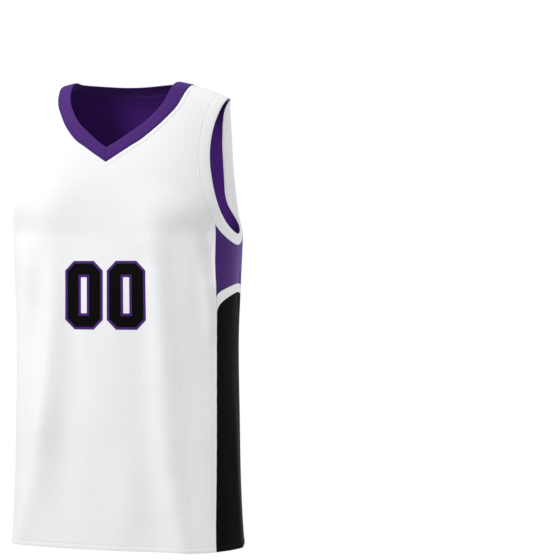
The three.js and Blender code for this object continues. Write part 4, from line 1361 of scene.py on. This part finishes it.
class JERSEY_OT_numerals(bpy.types.Operator):
    """Lays the block numerals on the front, each a purple layer under a black one"""
    bl_idname = "jersey.numerals"
    bl_label = "Numerals"

    def execute(self, context):
        """Flat rings laid on the folded cloth."""
        settings = context.scene.jersey
        sizes, colours = settings.numerals, settings.colours
        purple = plain_knit("Numeral outline", colours.outline, sheen=0.03)
        black = plain_knit("Numeral black", colours.black, sheen=0.0, specular=0.04)
        step = (sizes.width + sizes.gap) / 2
        layers = (
            ("outline", 0.0, sizes.counter_width, sizes.counter_height, 0, purple, "purple_mesh"),
            ("black", sizes.outline, sizes.counter_width + 2 * sizes.outline,
             sizes.counter_height + 2 * sizes.outline, 1, black, "black_mesh"),
        )
        for word, side in (("right", -1), ("left", 1)):
            centre = np.array([sizes.aside + side * step, -sizes.top - sizes.height / 2])
            for kind, inset, width, height, number, material, slot in layers:
                low = number * sizes.layer + OFF_THE_CLOTH
                rows = numeral_ring(sizes, centre, inset, width, height)
                outer = lambda at, low=low: np.full(len(at), low + sizes.layer)
                inner = lambda at, low=low: np.full(len(at), low)
                cloth_piece(f"numeral_{kind}_{word}", [rows[::-1]], outer, inner, material)
        return {"FINISHED"}


# How high stitches lie, how many degrees the hem's stop short of a side seam, and the share of
# the neckband's width at which its own run
STITCH_LIFT, SEAM_CLEAR, NECKBAND_STITCHES = 0.15 * MM, 1.2, 0.28


class JERSEY_OT_sewing(bpy.types.Operator):
    """Sews the hem and the neckband"""
    bl_idname = "jersey.sewing"
    bl_label = "Sewing"

    def execute(self, context):
        """Rows of stitches along the hem, round the neckband and beside its seam."""
        settings = context.scene.jersey
        sizes, trim, colours = settings.cloth, settings.trim, settings.colours
        thread = plain_knit("White thread", colours.white)
        dark = plain_knit("Black thread", [c * 4 for c in colours.black])
        purple = plain_knit("Purple thread", colours.band)
        hem = HEM_LEVEL + sizes.hem_height
        fronts = [side.sign * (float(side.front_seam(hem)) - SEAM_CLEAR) for side in SIDES]
        backs = [side.sign * (float(side.back_seam(hem)) + SEAM_CLEAR) for side in SIDES]
        white_rows = [
            stitches(places(np.linspace(fronts[1], fronts[0], 400), hem), trim, STITCH_LIFT),
            stitches(places(np.linspace(backs[0], backs[1] + 360, 400), hem), trim, STITCH_LIFT),
        ]
        dark_rows = []
        for side, front, back in zip(SIDES, fronts, backs):
            inwards = side.sign * 2 * SEAM_CLEAR
            line = places(np.linspace(front + inwards, back - inwards, 200), hem)
            dark_rows.append(stitches(line, trim, STITCH_LIFT))
        row = int(round(BAND_COLUMNS * NECKBAND_STITCHES))
        for front in (True, False):
            white_rows += [stitches(line, trim, 0) for line in beside_neck(front, sizes.topstitch)]
        strips, _ = neck_rows()
        purple_rows = [stitches(strip[row], trim, trim.band_fullness + 0.1 * MM)
                       for strip in strips]
        sewing_piece("sewing_white", white_rows, thread)
        sewing_piece("sewing_black", dark_rows, dark)
        sewing_piece("sewing_purple", purple_rows, purple)
        return {"FINISHED"}


# ---- Stage ----------------------------------------------------------------------------------

def area_light(name, place, target, size, power, colour=(1, 1, 1)):
    """Square soft light that faces a point."""
    light = bpy.data.lights.new(name, "AREA")
    light.shape = "SQUARE"
    light.size = size
    light.energy = power
    light.color = colour
    lamp = bpy.data.objects.new(name, light)
    lamp.location = place
    lamp.rotation_euler = (Vector(target) - Vector(place)).to_track_quat("-Z", "Y").to_euler()
    bpy.context.scene.collection.objects.link(lamp)
    return lamp


def floor_material():
    """Pale floor with a faint change of tone."""
    material = bpy.data.materials.new("Pale floor")
    material.use_nodes = True
    tree = material.node_tree
    shader = tree.nodes["Principled BSDF"]
    place = tree.nodes.new("ShaderNodeTexCoord").outputs["Object"]
    tone = placed_group(tree, "Cloth tone", place, Broad=1.5, Fine=40)
    base = mixed(tree, tone, (0.86, 0.86, 0.86), (0.82, 0.82, 0.83))
    tree.links.new(base, shader.inputs["Base Color"])
    shader.inputs["Roughness"].default_value = 0.9
    return material


FLOOR_LINES, FLOOR_RADIUS = 41, 1.6


class JERSEY_OT_stage(bpy.types.Operator):
    """Builds the camera, the floor and the light"""
    bl_idname = "jersey.stage"
    bl_label = "Stage"

    def execute(self, context):
        """Camera on the photograph's line of sight, a pale floor whose square grid is rounded into
        a disc, and soft lights."""
        scene, stage = context.scene, context.scene.jersey.stage
        camera_data = bpy.data.cameras.new("Camera")
        camera_data.lens = stage.lens
        camera_data.sensor_width = 36
        camera = bpy.data.objects.new("Camera", camera_data)
        camera.location = (stage.distance * math.sin(stage.azimuth),
                           -stage.distance * math.cos(stage.azimuth), stage.eye_level)
        camera.rotation_euler = (math.radians(90), 0, stage.azimuth - stage.pan)
        scene.collection.objects.link(camera)
        scene.camera = camera
        across, back = np.meshgrid(np.linspace(-1, 1, FLOOR_LINES), np.linspace(-1, 1, FLOOR_LINES))
        points = np.stack([FLOOR_RADIUS * across * np.sqrt(1 - back**2 / 2),
                           FLOOR_RADIUS * back * np.sqrt(1 - across**2 / 2),
                           np.full_like(across, stage.floor_level)], -1).reshape(-1, 3)
        number = np.arange(FLOOR_LINES**2).reshape(FLOOR_LINES, FLOOR_LINES)
        quads = np.stack([number[:-1, :-1], number[:-1, 1:], number[1:, 1:], number[1:, :-1]], -1)
        floor = mesh_piece("floor", points, quads.reshape(-1, 4), points[:, :2], floor_material())
        aim = (0, 0, -0.38)
        area_light("key", (-1.07, -1.48, 1.47), aim, 0.9, stage.key_power)
        area_light("fill", (1.8, 0.35, 0.1), aim, 1.0, stage.fill_power)
        world = bpy.data.worlds.new("Studio")
        scene.world = world
        world.use_nodes = True
        tree = world.node_tree
        light = tree.nodes["Background"]
        light.inputs["Color"].default_value = (1, 1, 1, 1)
        light.inputs["Strength"].default_value = stage.sky
        shown = tree.nodes.new("ShaderNodeBackground")
        shown.inputs["Color"].default_value = (1, 1, 1, 1)
        shown.inputs["Strength"].default_value = 1.0
        path = tree.nodes.new("ShaderNodeLightPath")
        either = tree.nodes.new("ShaderNodeMixShader")
        tree.links.new(path.outputs["Is Camera Ray"], either.inputs[0])
        tree.links.new(light.outputs[0], either.inputs[1])
        tree.links.new(shown.outputs[0], either.inputs[2])
        tree.links.new(either.outputs[0], tree.nodes["World Output"].inputs["Surface"])
        scene.view_settings.view_transform = "Standard"
        return {"FINISHED"}


PIECE_STEPS = ("panels", "inner_layer", "neckband", "armhole_bands", "side_pieces", "numerals",
               "sewing", "stage")


class JERSEY_PT_sidebar(bpy.types.Panel):
    """Lists the steps that build the jersey"""
    bl_label = "Jersey"
    bl_space_type = "VIEW_3D"
    bl_region_type = "UI"
    bl_category = "Jersey"

    def draw(self, context):
        """One button for each step, and the sizes below them."""
        for step in PIECE_STEPS:
            self.layout.operator(f"jersey.{step}")
        settings = context.scene.jersey
        groups = (settings.cloth, settings.trim, settings.numerals, settings.colours, settings.stage)
        for group in groups:
            box = self.layout.box()
            for name in group.__annotations__:
                box.prop(group, name)


CLASSES = (
    ClothSizes, TrimSizes, NumberSizes, ClothColours, StageSettings, JerseySettings,
    JERSEY_OT_panels, JERSEY_OT_inner_layer, JERSEY_OT_neckband, JERSEY_OT_armhole_bands,
    JERSEY_OT_side_pieces, JERSEY_OT_numerals, JERSEY_OT_sewing, JERSEY_OT_stage,
    JERSEY_PT_sidebar,
)


def register():
    """Registers the classes and hangs the settings on the scene."""
    for kind in CLASSES:
        bpy.utils.register_class(kind)
    bpy.types.Scene.jersey = PointerProperty(type=JerseySettings)


def unregister():
    """Takes the settings and the classes off again."""
    del bpy.types.Scene.jersey
    for kind in reversed(CLASSES):
        bpy.utils.unregister_class(kind)


def main():
    """Builds the jersey step by step."""
    register()
    for step in PIECE_STEPS:
        getattr(bpy.ops.jersey, step)()
    bpy.context.view_layer.update()


if __name__ == "__main__":
    main()
